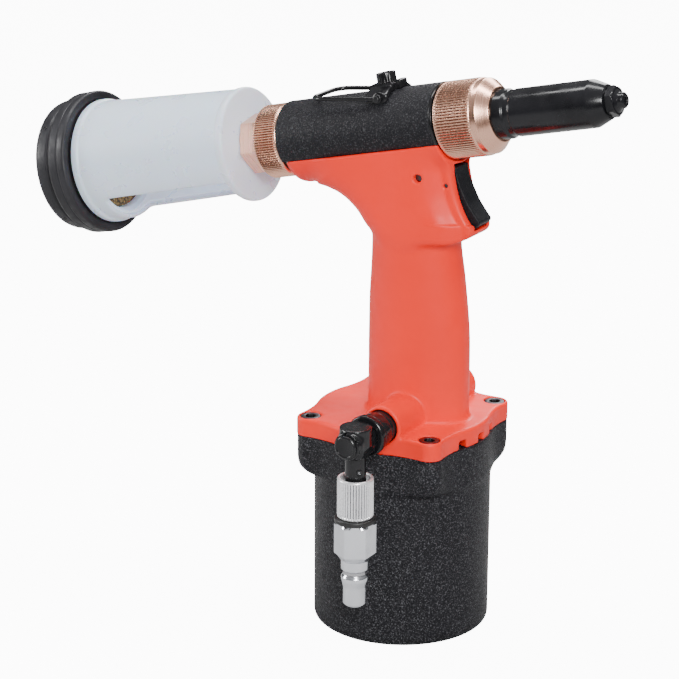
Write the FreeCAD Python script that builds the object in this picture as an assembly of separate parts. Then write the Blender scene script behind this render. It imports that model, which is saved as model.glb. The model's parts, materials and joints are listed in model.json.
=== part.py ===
"""Hydro-pneumatic blind rivet gun.

Frame: origin at the centre of the air cylinder's flat underside, +Z up through the
ram, +X towards the nose, millimetres.  Heights below are counted from a datum FOOT
above that underside, and main() raises every finished piece by FOOT.  The barrel is
modelled along its own axis (s forward, h up) and then tilted by on_barrel().
"""
import FreeCAD
import Part
import math
import os

V = FreeCAD.Vector
X, Y, Z = V(1, 0, 0), V(0, 1, 0), V(0, 0, 1)
FIT = 0.05            # radial running clearance between a shaft and its hole
GAP = 0.35            # free air between faces that only pass each other

# ---- air cylinder and flange -------------------------------------------------
CYL_R = 45.0          # outside of the air cylinder
CYL_BORE = 40.0       # bore of the air cylinder
FOOT = 3.0            # its underside lies this far below the datum
CYL_FLOOR = 6.0       # top of its floor
SEAM_Z = 100.0        # joint face between cylinder and handle
FLANGE_TOP = 109.6    # top of the handle's flange
SCREW_XY = 34.2       # the four flange screws stand on a square
EAR_R = 6.9           # ear around each screw
EAR_JOIN = 45.0       # hollow curve that leads from the round wall into an ear
EAR_FOOT = 79.0       # the cylinder's ears grow out of its wall here
EAR_ROUND = 10.5      # and are rounded underneath by this much
SCREW_R = 3.0         # M6 shank
SCREW_HEAD_R = 5.0
SCREW_HEAD_H = 6.0

# ---- ram ---------------------------------------------------------------------
PISTON_Z = 9.0        # underside of the air piston at rest
PISTON_H = 14.0
ROD_R = 8.0
OIL_R = 10.0          # bore of the oil tube
OIL_TUBE_R = 12.0
OIL_TUBE_TOP = 236.0

# ---- grip --------------------------------------------------------------------
# height, centre in x, half depth (x), half width (y)
GRIP = [(104.0, 8.7, 27.2, 19.0), (140.0, 8.7, 27.2, 19.0), (156.0, 8.5, 26.9, 18.9),
        (170.0, 7.9, 26.1, 18.6), (184.0, 7.4, 24.8, 18.3), (197.0, 6.6, 23.5, 18.1),
        (210.0, 6.0, 23.0, 18.0)]
HEAD_HALF = 18.4      # half width of the head, a little more than the grip
SLOT_HALF = 6.9       # half width of the trigger slot
# (height, x of the head's front there) and (distance behind it, half width)
HEAD_FRONTS = [(190.0, 42.9), (211.0, 42.6), (214.0, 40.3), (219.0, 37.0), (227.2, 33.4),
               (238.0, 30.8), (252.0, 28.4)]
FLANK = [(-25.0, HEAD_HALF), (-17.0, 17.4), (-9.0, 14.2), (-3.0, 10.8), (-0.7, 9.3), (0.0, 8.2)]

# ---- cross bosses at the root of the grip --------------------------------------
BOSS_X, BOSS_Z = 11.0, 113.8
BOSS_R = 10.8
MOUTH_R = 8.7         # counterbore that the swivel nut reaches into
BOSS_NEAR = 41.5      # face of the inlet boss, on the -Y side
BOSS_FAR = 39.0       # face of the plugged boss, on the +Y side
PORT_R = 7.0

# ---- barrel ------------------------------------------------------------------
TILT = 13.2           # the barrel points this many degrees up
BARREL_Z = 256.3      # height where its axis crosses x = 0
COVER_R = 19.2
COVER_REAR, COVER_FRONT = -65.6, 25.0
SPLIT_H = -8.8        # joint between the black cover and the housing
HEAD_R = 17.6         # hydraulic head inside the covers
BORE_R = 14.0

# ---- trigger and valves --------------------------------------------------------
PIVOT_X, PIVOT_Z = 28.0, 232.0
PIN_R = 1.0
TRIGGER_HALF = 6.4
LOCK_X, LOCK_Z = 15.6, 235.3    # pin that locks the housing to the hydraulic head
PILOT_Z = 222.0       # height of the pilot valve behind the trigger
MAIN_X = 24.0         # the main valve stands in the front of the grip's root
EXHAUST_ANGLES = (-19.0, 0.0, 19.0)
EXHAUST_WIDTH = 5.0

# ---- hydraulic head, in barrel coordinates --------------------------------------
HEAD_REAR, HEAD_FRONT = -64.0, 24.0
BORE_REAR = -42.0     # end of the head's bore, where the return spring sits
PULL_REST = -12.0     # rear face of the pull piston at rest
PULL_LENGTH = 16.0
DRAW_R = 7.0          # the piston's hollow front rod
TUBE_R = 4.0          # tube that carries spent stems to the collector
TUBE_BORE = 2.8

# ---- rear collar and stem collector ----------------------------------------------
COLLAR_REAR = -80.2
BOTTLE_FACE = -91.9   # front face of the collector bottle
BOTTLE_REAR = -185.4
WALL = 2.0
HEX_TURN = -20.0      # turn of the hexagon before the bottle, about the barrel
WINDOW = (212.0, 291.0)         # degrees, counted from +Y through +h

# ---- hanger --------------------------------------------------------------------
HANGER_S = -6.4       # hanger screw, along the barrel
BAIL_S, BAIL_H = -5.0, 16.6
BAIL_HALF = 14.4
BAIL_RISE = 6.4       # degrees the resting loop stands off the barrel's line
WIRE = 1.15

# ---- inlet ---------------------------------------------------------------------
DROP_Y = -66.0        # the hose plug hangs on this line, under the elbow


def ring(r_out, r_in, length, base, axis=Z):
    """Round tube; base is the centre of its first end."""
    tube = Part.makeCylinder(r_out, length, base, axis)
    if r_in > 0:
        tube = tube.cut(Part.makeCylinder(r_in, length + 2, base - axis, axis))
    return tube


def turned(profile, axis=X):
    """Solid of revolution; profile holds (distance along the axis, radius)."""
    outward = Z if axis == X else X
    points = [axis * along + outward * radius for along, radius in profile]
    face = Part.Face(Part.makePolygon(points + points[:1]))
    return face.revolve(V(0, 0, 0), axis, 360)


def hexagon(flats, length, base, axis=Z):
    """Hexagonal prism, flats across its flats."""
    radius = flats / math.sqrt(3)
    corners = [V(radius * math.cos(math.radians(60 * i)),
                 radius * math.sin(math.radians(60 * i)), 0) for i in range(7)]
    prism = Part.Face(Part.makePolygon(corners)).extrude(Z * length)
    prism.Placement = FreeCAD.Placement(base, FreeCAD.Rotation(Z, axis))
    return prism


def chamfered_hexagon(flats, length, base, axis=Z, slope=0.5):
    """Hexagonal prism with both ends turned down by a cone."""
    corner = flats / math.sqrt(3)
    cut = corner - flats / 2 * 0.97
    limit = turned([(0, 0), (0, corner - cut), (cut * slope, corner),
                    (length - cut * slope, corner), (length, corner - cut), (length, 0)])
    limit.Placement = FreeCAD.Placement(base, FreeCAD.Rotation(X, axis))
    return hexagon(flats, length, base, axis).common(limit)


def side_plate(points, half):
    """Extrude an outline in the XZ plane to both sides of y = 0."""
    corners = [V(x, -half, z) for x, z in points]
    return Part.Face(Part.makePolygon(corners + corners[:1])).extrude(Y * 2 * half)


def coil(mean_r, wire_r, length, turns, base, axis=Z):
    """Helical compression spring of short straight runs, its first coil centre at base."""
    runs = 14 * turns
    points = [V(mean_r * math.cos(2 * math.pi * turns * i / runs),
                mean_r * math.sin(2 * math.pi * turns * i / runs),
                length * i / runs) for i in range(runs + 1)]
    start = Part.Wire(Part.makeCircle(wire_r, points[0], points[1] - points[0]))
    spring = Part.makePolygon(points).makePipeShell([start], True, False, 1)
    spring.Placement = FreeCAD.Placement(base, FreeCAD.Rotation(Z, axis))
    return spring


def on_barrel(shape):
    """Tilt a shape modelled along +X into the barrel's place."""
    tilt = FreeCAD.Placement(V(0, 0, BARREL_Z), FreeCAD.Rotation(Y, -TILT))
    return moved(shape, tilt)


def moved(shape, placement):
    copy = shape.copy()
    copy.Placement = placement.multiply(copy.Placement)
    return copy


def arc_points(centre, radius, start, end, count):
    """Points (along, radius) on an arc, for turned profiles with a rounded corner."""
    out = []
    for i in range(count + 1):
        angle = math.radians(start + (end - start) * i / count)
        out.append((centre[0] + radius * math.cos(angle), centre[1] + radius * math.sin(angle)))
    return out


def screw_places():
    return [(sx * SCREW_XY, sy * SCREW_XY) for sx in (-1, 1) for sy in (-1, 1)]


# ---- air cylinder and ram ------------------------------------------------------
def plan_outline(height, base_z):
    """Round plate with four ears, as the flange and the cylinder's top share it."""
    plate = Part.makeCylinder(CYL_R, height, V(0, 0, base_z))
    for x, y in screw_places():
        plate = plate.fuse(Part.makeCylinder(EAR_R, height, V(x, y, base_z)))
    plate = plate.removeSplitter()
    corners = [e for e in plate.Edges if abs(e.BoundBox.ZLength - height) < 1e-6
               and len(e.Vertexes) == 2 and e.Curve.TypeId == "Part::GeomLine"
               and math.hypot(e.CenterOfMass.x, e.CenterOfMass.y) > CYL_R - 0.01
               and abs(abs(e.CenterOfMass.x) - abs(e.CenterOfMass.y)) > 1.0]
    return plate.makeFillet(EAR_JOIN, corners)


def air_cylinder():
    body = turned([(-FOOT, 0), (-FOOT, CYL_R - 3)] + arc_points((3 - FOOT, CYL_R - 3), 3, 180, 90, 6)
                  + [(SEAM_Z, CYL_R), (SEAM_Z, 0)], Z)
    ears = plan_outline(SEAM_Z - EAR_FOOT, EAR_FOOT)
    rounded = turned([(EAR_FOOT, 0), (EAR_FOOT, CYL_R + 0.6)]
                     + arc_points((EAR_FOOT + EAR_ROUND, CYL_R + 0.6), EAR_ROUND, 180, 90, 10)
                     + [(SEAM_Z, CYL_R + 0.6 + EAR_ROUND), (SEAM_Z, 0)], Z)
    body = body.fuse(ears.common(rounded))
    body = body.cut(Part.makeCylinder(CYL_BORE, SEAM_Z, V(0, 0, CYL_FLOOR)))
    body = body.cut(ring(43.6, 41.4, 1.3, V(0, 0, SEAM_Z - 1.3)))
    for x, y in screw_places():
        body = body.cut(Part.makeCylinder(SCREW_R + FIT, 14, V(x, y, SEAM_Z - 12)))
    return body.removeSplitter()


def base_seal():
    return ring(43.5, 41.5, 1.3, V(0, 0, SEAM_Z - 1.3))


def base_screws():
    screws = []
    for x, y in screw_places():
        head_z = FLANGE_TOP - 0.8 - SCREW_HEAD_H
        screw = Part.makeCylinder(SCREW_HEAD_R, SCREW_HEAD_H, V(x, y, head_z))
        screw = screw.fuse(Part.makeCylinder(SCREW_R, head_z - 89.0, V(x, y, 89.0)))
        screws.append(screw.cut(hexagon(5.0, 3.5, V(x, y, FLANGE_TOP - 0.8 - 3.0))))
    return Part.makeCompound(screws)


def piston_bumper():
    """Rubber ring that the air piston comes down on."""
    return ring(26.0, 14.0, 2.6, V(0, 0, CYL_FLOOR))


def air_piston():
    disc = ring(CYL_BORE - FIT, 6.0, PISTON_H, V(0, 0, PISTON_Z))
    groove = ring(CYL_BORE + 1, CYL_BORE - 4.0, 4.0, V(0, 0, PISTON_Z + 5))
    relief = ring(34.0, 15.0, 6.0, V(0, 0, PISTON_Z + 8.5))
    return disc.cut(groove).cut(relief)


def air_piston_seal():
    return ring(CYL_BORE - 0.02, CYL_BORE - 3.9, 3.8, V(0, 0, PISTON_Z + 5.1))


def ram_rod():
    """Polished rod: thin end through the piston, thick end in the oil."""
    top = 126.0
    profile = [(PISTON_Z - 1.5, 0), (PISTON_Z - 1.5, 5.9), (PISTON_Z + PISTON_H, 5.9),
               (PISTON_Z + PISTON_H, ROD_R), (top - 2, ROD_R), (top, ROD_R - 2), (top, 0)]
    return turned(profile, Z)


def rod_gland():
    """Flanged bush that closes the oil tube around the ram rod."""
    bush = ring(18.0, ROD_R + FIT, 6.0, V(0, 0, SEAM_Z - 6))
    neck = ring(OIL_R - 0.02, ROD_R + FIT, 9.0, V(0, 0, SEAM_Z))
    seat = ring(ROD_R + 2.0, ROD_R - 1, 2.6, V(0, 0, SEAM_Z - 3.0))
    return bush.fuse(neck).cut(seat).removeSplitter()


def rod_seal():
    return ring(ROD_R + 1.95, ROD_R + 0.02, 2.5, V(0, 0, SEAM_Z - 2.95))


def oil_tube():
    return ring(OIL_TUBE_R, OIL_R, OIL_TUBE_TOP - SEAM_Z, V(0, 0, SEAM_Z))


# ---- handle housing --------------------------------------------------------------
def grip_solid():
    sections = []
    for z, centre, depth, width in GRIP:
        ellipse = Part.Ellipse(V(centre, 0, z), depth, width)
        sections.append(Part.Wire(ellipse.toShape()))
    return Part.makeLoft(sections, True, False)


def curve(points):
    spline = Part.BSplineCurve()
    spline.interpolate([V(x, -HEAD_HALF, z) for x, z in points])
    return spline.toShape()


def line(first, second):
    return Part.LineSegment(V(first[0], -HEAD_HALF, first[1]),
                            V(second[0], -HEAD_HALF, second[1])).toShape()


def head_block():
    """Web between barrel and grip: swept back curve, trigger front, guard lip."""
    back = [(-16.2, 199.5), (-18.6, 205.0), (-24.5, 212.0), (-33.0, 217.8), (-46.0, 221.8)]
    sole = [(43.0, 210.0), (38.7, 206.0), (31.0, 202.2), (15.0, 200.6), (-16.2, 199.5)]
    top_back, top_front, front_low = (-46.0, 246.0), (48.0, 246.0), (48.0, 214.0)
    edges = [curve(back), line(back[-1], top_back), line(top_back, top_front),
             line(top_front, front_low), line(front_low, sole[0]), curve(sole)]
    block = Part.Face(Part.Wire(edges)).extrude(Y * 2 * HEAD_HALF)
    rounded = [e for e in block.Edges if abs(abs(e.CenterOfMass.y) - HEAD_HALF) < 0.01
               and -40 < e.CenterOfMass.x < -20 and 205 < e.CenterOfMass.z < 220]
    return block.makeFillet(13.0, rounded).common(head_taper())


def head_taper():
    """Loft that narrows the head towards the trigger, leaning with its front face."""
    sections = []
    for z, front in HEAD_FRONTS:
        flanks = []
        for side in (-1, 1):
            spline = Part.BSplineCurve()
            spline.interpolate([V(front + back, side * half, z) for back, half in FLANK])
            flanks.append(spline.toShape())
        start, end = FLANK[0], FLANK[-1]
        corners = [V(front + start[0], start[1], z), V(-70, start[1], z),
                   V(-70, -start[1], z), V(front + start[0], -start[1], z)]
        rear = [Part.LineSegment(a, b).toShape() for a, b in zip(corners, corners[1:])]
        nose = Part.LineSegment(V(front, -end[1], z), V(front, end[1], z)).toShape()
        edges = Part.__sortEdges__(flanks + rear + [nose])
        sections.append(Part.Wire(edges))
    return Part.makeLoft(sections, True, True)


def saddle_solid():
    """Trough under the barrel, deeper than the barrel is round."""
    trough = Part.makeCylinder(18.0, COVER_FRONT - COVER_REAR, V(COVER_REAR, 0, -4.4), X)
    rear_edge = [e for e in trough.Edges if abs(e.CenterOfMass.x - COVER_REAR) < 1e-6
                 and e.Curve.TypeId == "Part::GeomCircle"]
    trough = trough.makeFillet(6.0, rear_edge)
    slab = Part.makeBox(200, 80, 60, V(-100, -40, SPLIT_H))
    return on_barrel(trough.cut(slab))


def along_y(radius, length, start_y, x, z, side=1):
    """Round bar along Y, from start_y towards +Y (side 1) or -Y (side -1)."""
    return Part.makeCylinder(radius, length, V(x, start_y, z), Y * side)


def handle_housing():
    """Flange, grip and barrel trough moulded as one, with every bore it needs."""
    flange = plan_outline(FLANGE_TOP - SEAM_Z, SEAM_Z)
    rim = [e for e in flange.Edges if abs(e.CenterOfMass.z - FLANGE_TOP) < 1e-6]
    flange = flange.makeFillet(1.6, rim)
    body = flange.fuse(grip_solid()).fuse(saddle_solid())
    above = on_barrel(Part.makeBox(200, 80, 60, V(-100, -40, SPLIT_H)))
    beyond = on_barrel(Part.makeBox(60, 80, 60, V(COVER_FRONT, -40, -19.6)))
    body = body.fuse(head_block().cut(above).cut(beyond))
    near = along_y(BOSS_R, BOSS_NEAR, 0, BOSS_X, BOSS_Z, -1)
    mouth = [e for e in near.Edges if abs(e.CenterOfMass.y + BOSS_NEAR) < 1e-6]
    body = body.fuse(near.makeFillet(1.4, mouth))
    body = body.fuse(along_y(BOSS_R - 0.6, BOSS_FAR, 0, BOSS_X, BOSS_Z))
    return body.removeSplitter().cut(housing_bores())


def housing_bores():
    """Everything that is hollow in the housing, as one cutting tool."""
    tool = Part.makeCylinder(OIL_TUBE_R + FIT, 160, V(0, 0, SEAM_Z - 1))
    tool = tool.fuse(on_barrel(Part.makeCylinder(HEAD_R + FIT, 120, V(-80, 0, 0), X)))
    for x, y in screw_places():
        tool = tool.fuse(Part.makeCylinder(SCREW_R + FIT, 20, V(x, y, SEAM_Z - 5)))
        head_z = FLANGE_TOP - 0.8 - SCREW_HEAD_H
        tool = tool.fuse(Part.makeCylinder(SCREW_HEAD_R + 0.4, 20, V(x, y, head_z)))
    # inlet on the near side, plug on the far side, each with a passage to the main valve
    tool = tool.fuse(along_y(PORT_R + FIT, 30, -14.5, BOSS_X, BOSS_Z, -1))
    tool = tool.fuse(along_y(MOUTH_R, 17.0, -29.5, BOSS_X, BOSS_Z, -1))
    tool = tool.fuse(along_y(PORT_R + FIT, 30, 14.5, BOSS_X, BOSS_Z))
    for side in (-1, 1):
        start = V(14.0, 16.0 * side, BOSS_Z)
        tool = tool.fuse(Part.makeCylinder(2.5, 17.0, start, V(10.0, -16.0 * side, 0)))
    # main valve bore, its pilot passage up the grip, and the exhaust slots
    tool = tool.fuse(Part.makeCylinder(6.0 + FIT, 32, V(MAIN_X, 0, SEAM_Z - 1)))
    tool = tool.fuse(Part.makeCylinder(1.2, 95, V(MAIN_X - 3.0, 0, SEAM_Z + 28)))
    pocket = ring(39.5, 34.5, 5.0, V(0, 0, SEAM_Z + 1.0))
    tool = tool.fuse(pocket.common(sector(46.0, -28.0, 28.0)))
    for angle in EXHAUST_ANGLES:
        slot = Part.makeBox(9.0, EXHAUST_WIDTH, 4.5, V(37.0, -EXHAUST_WIDTH / 2, SEAM_Z - 0.2))
        slot.rotate(V(0, 0, 0), Z, angle)
        tool = tool.fuse(slot)
    # pilot valve bore, cross pins, trigger slot
    tool = tool.fuse(Part.makeCylinder(4.5 + FIT, 40, V(13.0, 0, PILOT_Z), X))
    tool = tool.fuse(along_y(2.0, 2 * HEAD_HALF + 2, -HEAD_HALF - 1, LOCK_X, LOCK_Z))
    tool = tool.fuse(along_y(PIN_R + 0.01, 2 * HEAD_HALF, -HEAD_HALF, PIVOT_X, PIVOT_Z))
    slot = [(60, 242.3), (25.5, 242.3), (22.6, 238.0), (22.6, 229.0), (28.5, 221.5),
            (29.5, 207.0), (35.5, 207.0), (39.9, 208.7), (42.2, 210.7), (60, 216.0)]
    tool = tool.fuse(side_plate(slot, SLOT_HALF))
    lug = [(9.0, 228.5), (20.2, 228.5), (20.2, 250.0), (9.0, 250.0)]
    return tool.fuse(side_plate(lug, 6.0 + FIT))


def sector(radius, start, end):
    """Wedge of a thick disc, to keep part of a ring."""
    wedge = Part.makeCylinder(radius, 60, V(0, 0, SEAM_Z - 20), Z, end - start)
    wedge.rotate(V(0, 0, 0), Z, start)
    return wedge


def head_cover():
    """Black top cover, a shell over the hydraulic head above the split line."""
    length = COVER_FRONT - COVER_REAR
    shell = ring(COVER_R, HEAD_R + FIT, length, V(COVER_REAR, 0, 0), X)
    slab = Part.makeBox(200, 80, 60, V(-100, -40, SPLIT_H))
    shell = shell.common(slab)
    hole = Part.makeCylinder(SCREW_R + 0.1, 10, V(HANGER_S, 0, 14), Z)
    return on_barrel(shell.cut(hole))


def exhaust_silencer():
    felt = ring(39.3, 34.7, 4.6, V(0, 0, SEAM_Z + 1.2))
    return felt.common(sector(46.0, -27.0, 27.0))


def housing_pin():
    return along_y(1.95, 30.0, -15.0, LOCK_X, LOCK_Z)


# ---- valves and trigger ------------------------------------------------------------
def main_valve_body():
    sleeve = ring(6.0, 4.0, 24.0, V(MAIN_X, 0, SEAM_Z))
    for z in (6.0, 13.8):
        sleeve = sleeve.cut(along_y(1.6, 14, -7, MAIN_X, SEAM_Z + z))
    return sleeve


def main_valve_spool():
    spool = turned([(6.5, 0), (6.5, 3.95), (9.5, 3.95), (9.5, 2.2), (13.0, 2.2), (13.0, 3.95),
                    (16.5, 3.95), (16.5, 0)], Z)
    spool.translate(V(MAIN_X, 0, SEAM_Z))
    return spool


def main_valve_spring():
    return coil(2.9, 0.4, 4.6, 4, V(MAIN_X, 0, SEAM_Z + 0.9))


def pilot_valve_body():
    body = ring(4.5, 2.4, 11.0, V(13.2, 0, PILOT_Z), X)
    nose = ring(4.5, 1.55, 1.6, V(24.2, 0, PILOT_Z), X)
    return body.fuse(nose).removeSplitter()


def pilot_valve_stem():
    profile = [(18.6, 0), (18.6, 2.3), (21.4, 2.3), (21.4, 1.5), (29.6, 1.5), (30.1, 1.0), (30.1, 0)]
    stem = turned(profile, X)
    stem.translate(V(0, 0, PILOT_Z))
    return stem


def pilot_valve_spring():
    return coil(1.7, 0.3, 4.4, 4, V(13.7, 0, PILOT_Z), X)


def trigger():
    front = [(30.9, 240.6), (31.9, 236.2), (33.6, 231.9), (36.0, 227.2), (38.3, 223.0),
             (41.7, 218.5), (44.5, 215.1)]
    back = [(44.6, 213.9), (42.1, 211.6), (38.6, 213.6), (34.2, 218.5), (31.3, 222.5),
            (27.2, 226.3), (24.6, 230.5), (24.8, 237.0), (26.4, 240.6)]
    blade = side_plate(front + back, TRIGGER_HALF)
    edges = [e for e in blade.Edges if abs(abs(e.CenterOfMass.y) - TRIGGER_HALF) < 0.01
             and e.CenterOfMass.x > 30.0 + (241.0 - e.CenterOfMass.z) * 0.3]
    blade = blade.makeFillet(0.8, edges)
    return blade.cut(along_y(PIN_R + FIT, 2 * TRIGGER_HALF + 2, -TRIGGER_HALF - 1, PIVOT_X, PIVOT_Z))


def trigger_pin():
    return along_y(PIN_R, 20.0, -10.0, PIVOT_X, PIVOT_Z)


# ---- hydraulic head ------------------------------------------------------------------
def head_body():
    """Steel body: piston bore open to the front, threaded spigot at the rear."""
    body = turned([(HEAD_REAR, 0), (HEAD_REAR, HEAD_R), (HEAD_FRONT, HEAD_R), (HEAD_FRONT, 0)])
    spigot = Part.makeCylinder(12.0, 14.0, V(-77.0, 0, 0), X)
    body = body.fuse(spigot)
    body = body.cut(Part.makeCylinder(BORE_R, 80, V(BORE_REAR, 0, 0), X))
    body = body.cut(Part.makeCylinder(TUBE_R + FIT, 60, V(-80, 0, 0), X))
    body = body.cut(Part.makeCylinder(SCREW_R + FIT, 6, V(HANGER_S, 0, BORE_R + 0.6), Z))
    lug = [(9.3, 229.0), (20.0, 229.0), (20.0, 246.0), (12.0, 246.0), (9.3, 243.0)]
    body = on_barrel(body).fuse(side_plate(lug, 6.0))
    body = body.cut(on_barrel(Part.makeCylinder(BORE_R, 65.9, V(BORE_REAR, 0, 0), X)))
    body = body.cut(Part.makeCylinder(OIL_TUBE_R + FIT, 30, V(0, 0, OIL_TUBE_TOP - 29.9)))
    body = body.cut(Part.makeCylinder(3.0, 12, V(0, 0, OIL_TUBE_TOP)))
    return body.cut(along_y(2.0, 20, -10, LOCK_X, LOCK_Z)).removeSplitter()


def pull_piston():
    front = PULL_REST + PULL_LENGTH
    profile = [(PULL_REST, TUBE_R), (PULL_REST, BORE_R - FIT), (PULL_REST + 6, BORE_R - FIT),
               (PULL_REST + 6, BORE_R - 3), (PULL_REST + 10, BORE_R - 3),
               (PULL_REST + 10, BORE_R - FIT), (front, BORE_R - FIT), (front, DRAW_R),
               (62.0, DRAW_R), (62.0, TUBE_R)]
    return on_barrel(turned(profile))


def pull_piston_seal():
    return on_barrel(ring(BORE_R - 0.02, BORE_R - 2.9, 3.8, V(PULL_REST + 6.1, 0, 0), X))


def return_spring():
    length = PULL_REST - BORE_REAR - 3.4
    return on_barrel(coil(10.5, 1.3, length, 5, V(BORE_REAR + 1.7, 0, 0), X))


def front_gland():
    bush = ring(BORE_R - 0.02, DRAW_R + FIT, 5.8, V(18.0, 0, 0), X)
    seat = ring(DRAW_R + 2.2, DRAW_R - 1, 2.8, V(19.5, 0, 0), X)
    return on_barrel(bush.cut(seat))


def front_gland_seal():
    return on_barrel(ring(DRAW_R + 2.1, DRAW_R + 0.02, 2.6, V(19.6, 0, 0), X))


def front_nut():
    """Knurled nut that holds the nose sleeve to the head."""
    profile = [(25.4, 12.3), (25.4, 18.3), (26.2, 19.1), (45.0, 19.1), (46.0, 18.6), (49.0, 18.4),
               (54.0, 13.6), (54.0, 12.3)]
    return on_barrel(turned(profile))


def nose_sleeve():
    """Steel sleeve: shoulder inside the nut, wrench groove, long tube, front cone."""
    profile = [(24.0, 8.6), (24.0, 13.9), (25.4, 13.9), (25.4, 12.2), (59.0, 12.2), (60.0, 11.2),
               (62.6, 11.2), (63.4, 11.6), (104.4, 11.6), (105.6, 11.1), (112.0, 8.3), (112.0, 5.05),
               (103.0, 5.05), (100.0, 8.6)]
    return on_barrel(turned(profile))


def nosepiece():
    """Hexagon with a rounded tip; its bore takes the rivet's stem."""
    thread = ring(5.0, 1.6, 7.0, V(105.0, 0, 0), X)
    hexa = chamfered_hexagon(13.4, 4.4, V(112.0, 0, 0), X)
    tip = turned([(116.0, 0), (116.0, 5.6), (117.6, 3.9), (119.5, 3.9), (120.3, 3.1), (120.3, 0)])
    piece = thread.fuse(hexa).fuse(tip).removeSplitter()
    return on_barrel(piece.cut(Part.makeCylinder(1.6, 30, V(100, 0, 0), X)))


def jaw_case():
    profile = [(62.0, 4.2), (62.0, 8.2), (97.0, 8.2), (97.0, 3.4), (84.0, 6.6), (64.5, 6.6), (64.5, 4.2)]
    return on_barrel(turned(profile))


def jaws():
    """Three jaw segments that wedge in the case's cone."""
    cone = turned([(85.0, 1.4), (85.0, 6.2), (96.3, 3.4), (96.3, 1.4)])
    pieces = []
    for i in range(3):
        wedge = Part.makeCylinder(10, 20, V(80, 0, 0), X, 112.0)
        wedge.rotate(V(80, 0, 0), X, 120.0 * i + 4.0)
        pieces.append(on_barrel(cone.common(wedge)))
    return Part.makeCompound(pieces)


def jaw_pusher():
    profile = [(79.6, 2.8), (79.6, 6.4), (82.6, 6.4), (84.8, 4.6), (84.8, 2.8)]
    return on_barrel(turned(profile))


def jaw_spring():
    return on_barrel(coil(5.6, 0.55, 13.4, 6, V(65.4, 0, 0), X))


def mandrel_tube():
    return on_barrel(ring(TUBE_R - 0.02, TUBE_BORE, 148.0, V(-88.0, 0, 0), X))


# ---- rear collar and stem collector ----------------------------------------------------
def rear_collar():
    profile = [(COLLAR_REAR, 12.05), (COLLAR_REAR, 17.6), (COLLAR_REAR + 1, 18.6),
               (COVER_REAR - 0.9, 18.6), (COVER_REAR - 0.4, 18.1), (COVER_REAR - 0.4, 12.05)]
    return on_barrel(turned(profile))


def rear_adapter():
    """Hexagon behind the collar with a neck that carries the bottle."""
    nut = chamfered_hexagon(27.0, 11.0, V(BOTTLE_FACE + 0.3, 0, 0), X)
    nut.rotate(V(0, 0, 0), X, HEX_TURN)
    neck = Part.makeCylinder(9.5, 10, V(BOTTLE_FACE - 8.0, 0, 0), X)
    lip = Part.makeCylinder(11.5, 1.6, V(BOTTLE_FACE - 8.0, 0, 0), X)
    adapter = nut.fuse(neck).fuse(lip).removeSplitter()
    return on_barrel(adapter.cut(Part.makeCylinder(TUBE_R + 0.6, 60, V(-120, 0, 0), X)))


def bottle_radius(s):
    """Outside radius of the tapered bottle at s along the barrel."""
    return 28.4 + (-s - 93.0) * 0.0335


def window_cutter(r_in, r_out, extra, low, high):
    """Sector between two stations that cuts the discharge window through a wall."""
    start, end = WINDOW[0] - extra, WINDOW[1] + extra
    block = Part.makeCylinder(r_out, high - low, V(0, 0, 0), Z, end - start)
    block.rotate(V(0, 0, 0), Z, start)
    # Z goes to X, X to Y and Y to Z, so angles count from +Y towards +h
    block.Placement = FreeCAD.Placement(V(low, 0, 0), FreeCAD.Rotation(V(1, 1, 1), 120)).multiply(
        block.Placement)
    return block.cut(Part.makeCylinder(r_in, 200, V(-200, 0, 0), X))


def collector_bottle():
    """Translucent tapered tube with a front wall, a rim and a long window."""
    face, rear = BOTTLE_FACE, BOTTLE_REAR
    profile = [(face, 9.7), (face, 26.4), (face - 1.3, 29.2), (face - 4.2, 29.2),
               (face - 4.8, bottle_radius(face - 4.8)), (-180.0, bottle_radius(-180)),
               (-181.0, 32.4), (rear, 32.4), (rear, 25.2), (-178.0, 25.2),
               (-178.0, bottle_radius(-178) - WALL), (face - 4.6, bottle_radius(face) - WALL),
               (face - 4.6, 9.7)]
    tube = turned(profile)
    return on_barrel(tube.cut(window_cutter(20.0, 40.0, 0.0, -173.0, -97.0)))


def shutter_sleeve():
    """Inner sleeve with the same window; turning the bottle closes the two."""
    front, rear = BOTTLE_FACE - 5.1, -177.4
    inset = WALL + GAP
    profile = [(front, 9.7), (front, bottle_radius(front) - inset), (rear, bottle_radius(rear) - inset),
               (rear, bottle_radius(rear) - inset - 1.2),
               (front - 1.2, bottle_radius(front) - inset - 1.2), (front - 1.2, 9.7)]
    sleeve = turned(profile)
    return on_barrel(sleeve.cut(window_cutter(15.0, 40.0, 1.5, -173.5, -99.2)))


def collector_cap():
    """Stepped rubber-like cap with a wide lip over the bottle's rim."""
    rear = -208.3
    profile = [(rear, 0), (rear, 31.7)] + arc_points((rear + 2.5, 31.7), 2.5, 180, 90, 4)[1:]
    profile += [(-200.5, 34.4), (-199.6, 33.8), (-198.4, 33.8), (-197.4, 36.4), (-196.6, 37.2),
                (-188.0, 37.4), (-186.1, 36.8), (-186.1, 33.0), (-189.0, 33.0), (-189.0, 24.6),
                (-204.8, 24.6), (-204.8, 0)]
    cap = turned(profile)
    for i in range(4):
        vent = Part.makeCylinder(0.9, 20, V(rear + 6.0, 0, 20), Z)
        vent.rotate(V(0, 0, 0), X, 90.0 * i + 45.0)
        cap = cap.cut(vent)
    return on_barrel(cap)


def exhaust_filter():
    """Thin sintered cup in the cap; its face closes the rear of the bottle."""
    return on_barrel(turned([(-204.6, 23.2), (-204.6, 24.4), (-180.6, 24.4), (-180.6, 0),
                             (-182.4, 0), (-182.4, 23.2)]))


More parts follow.
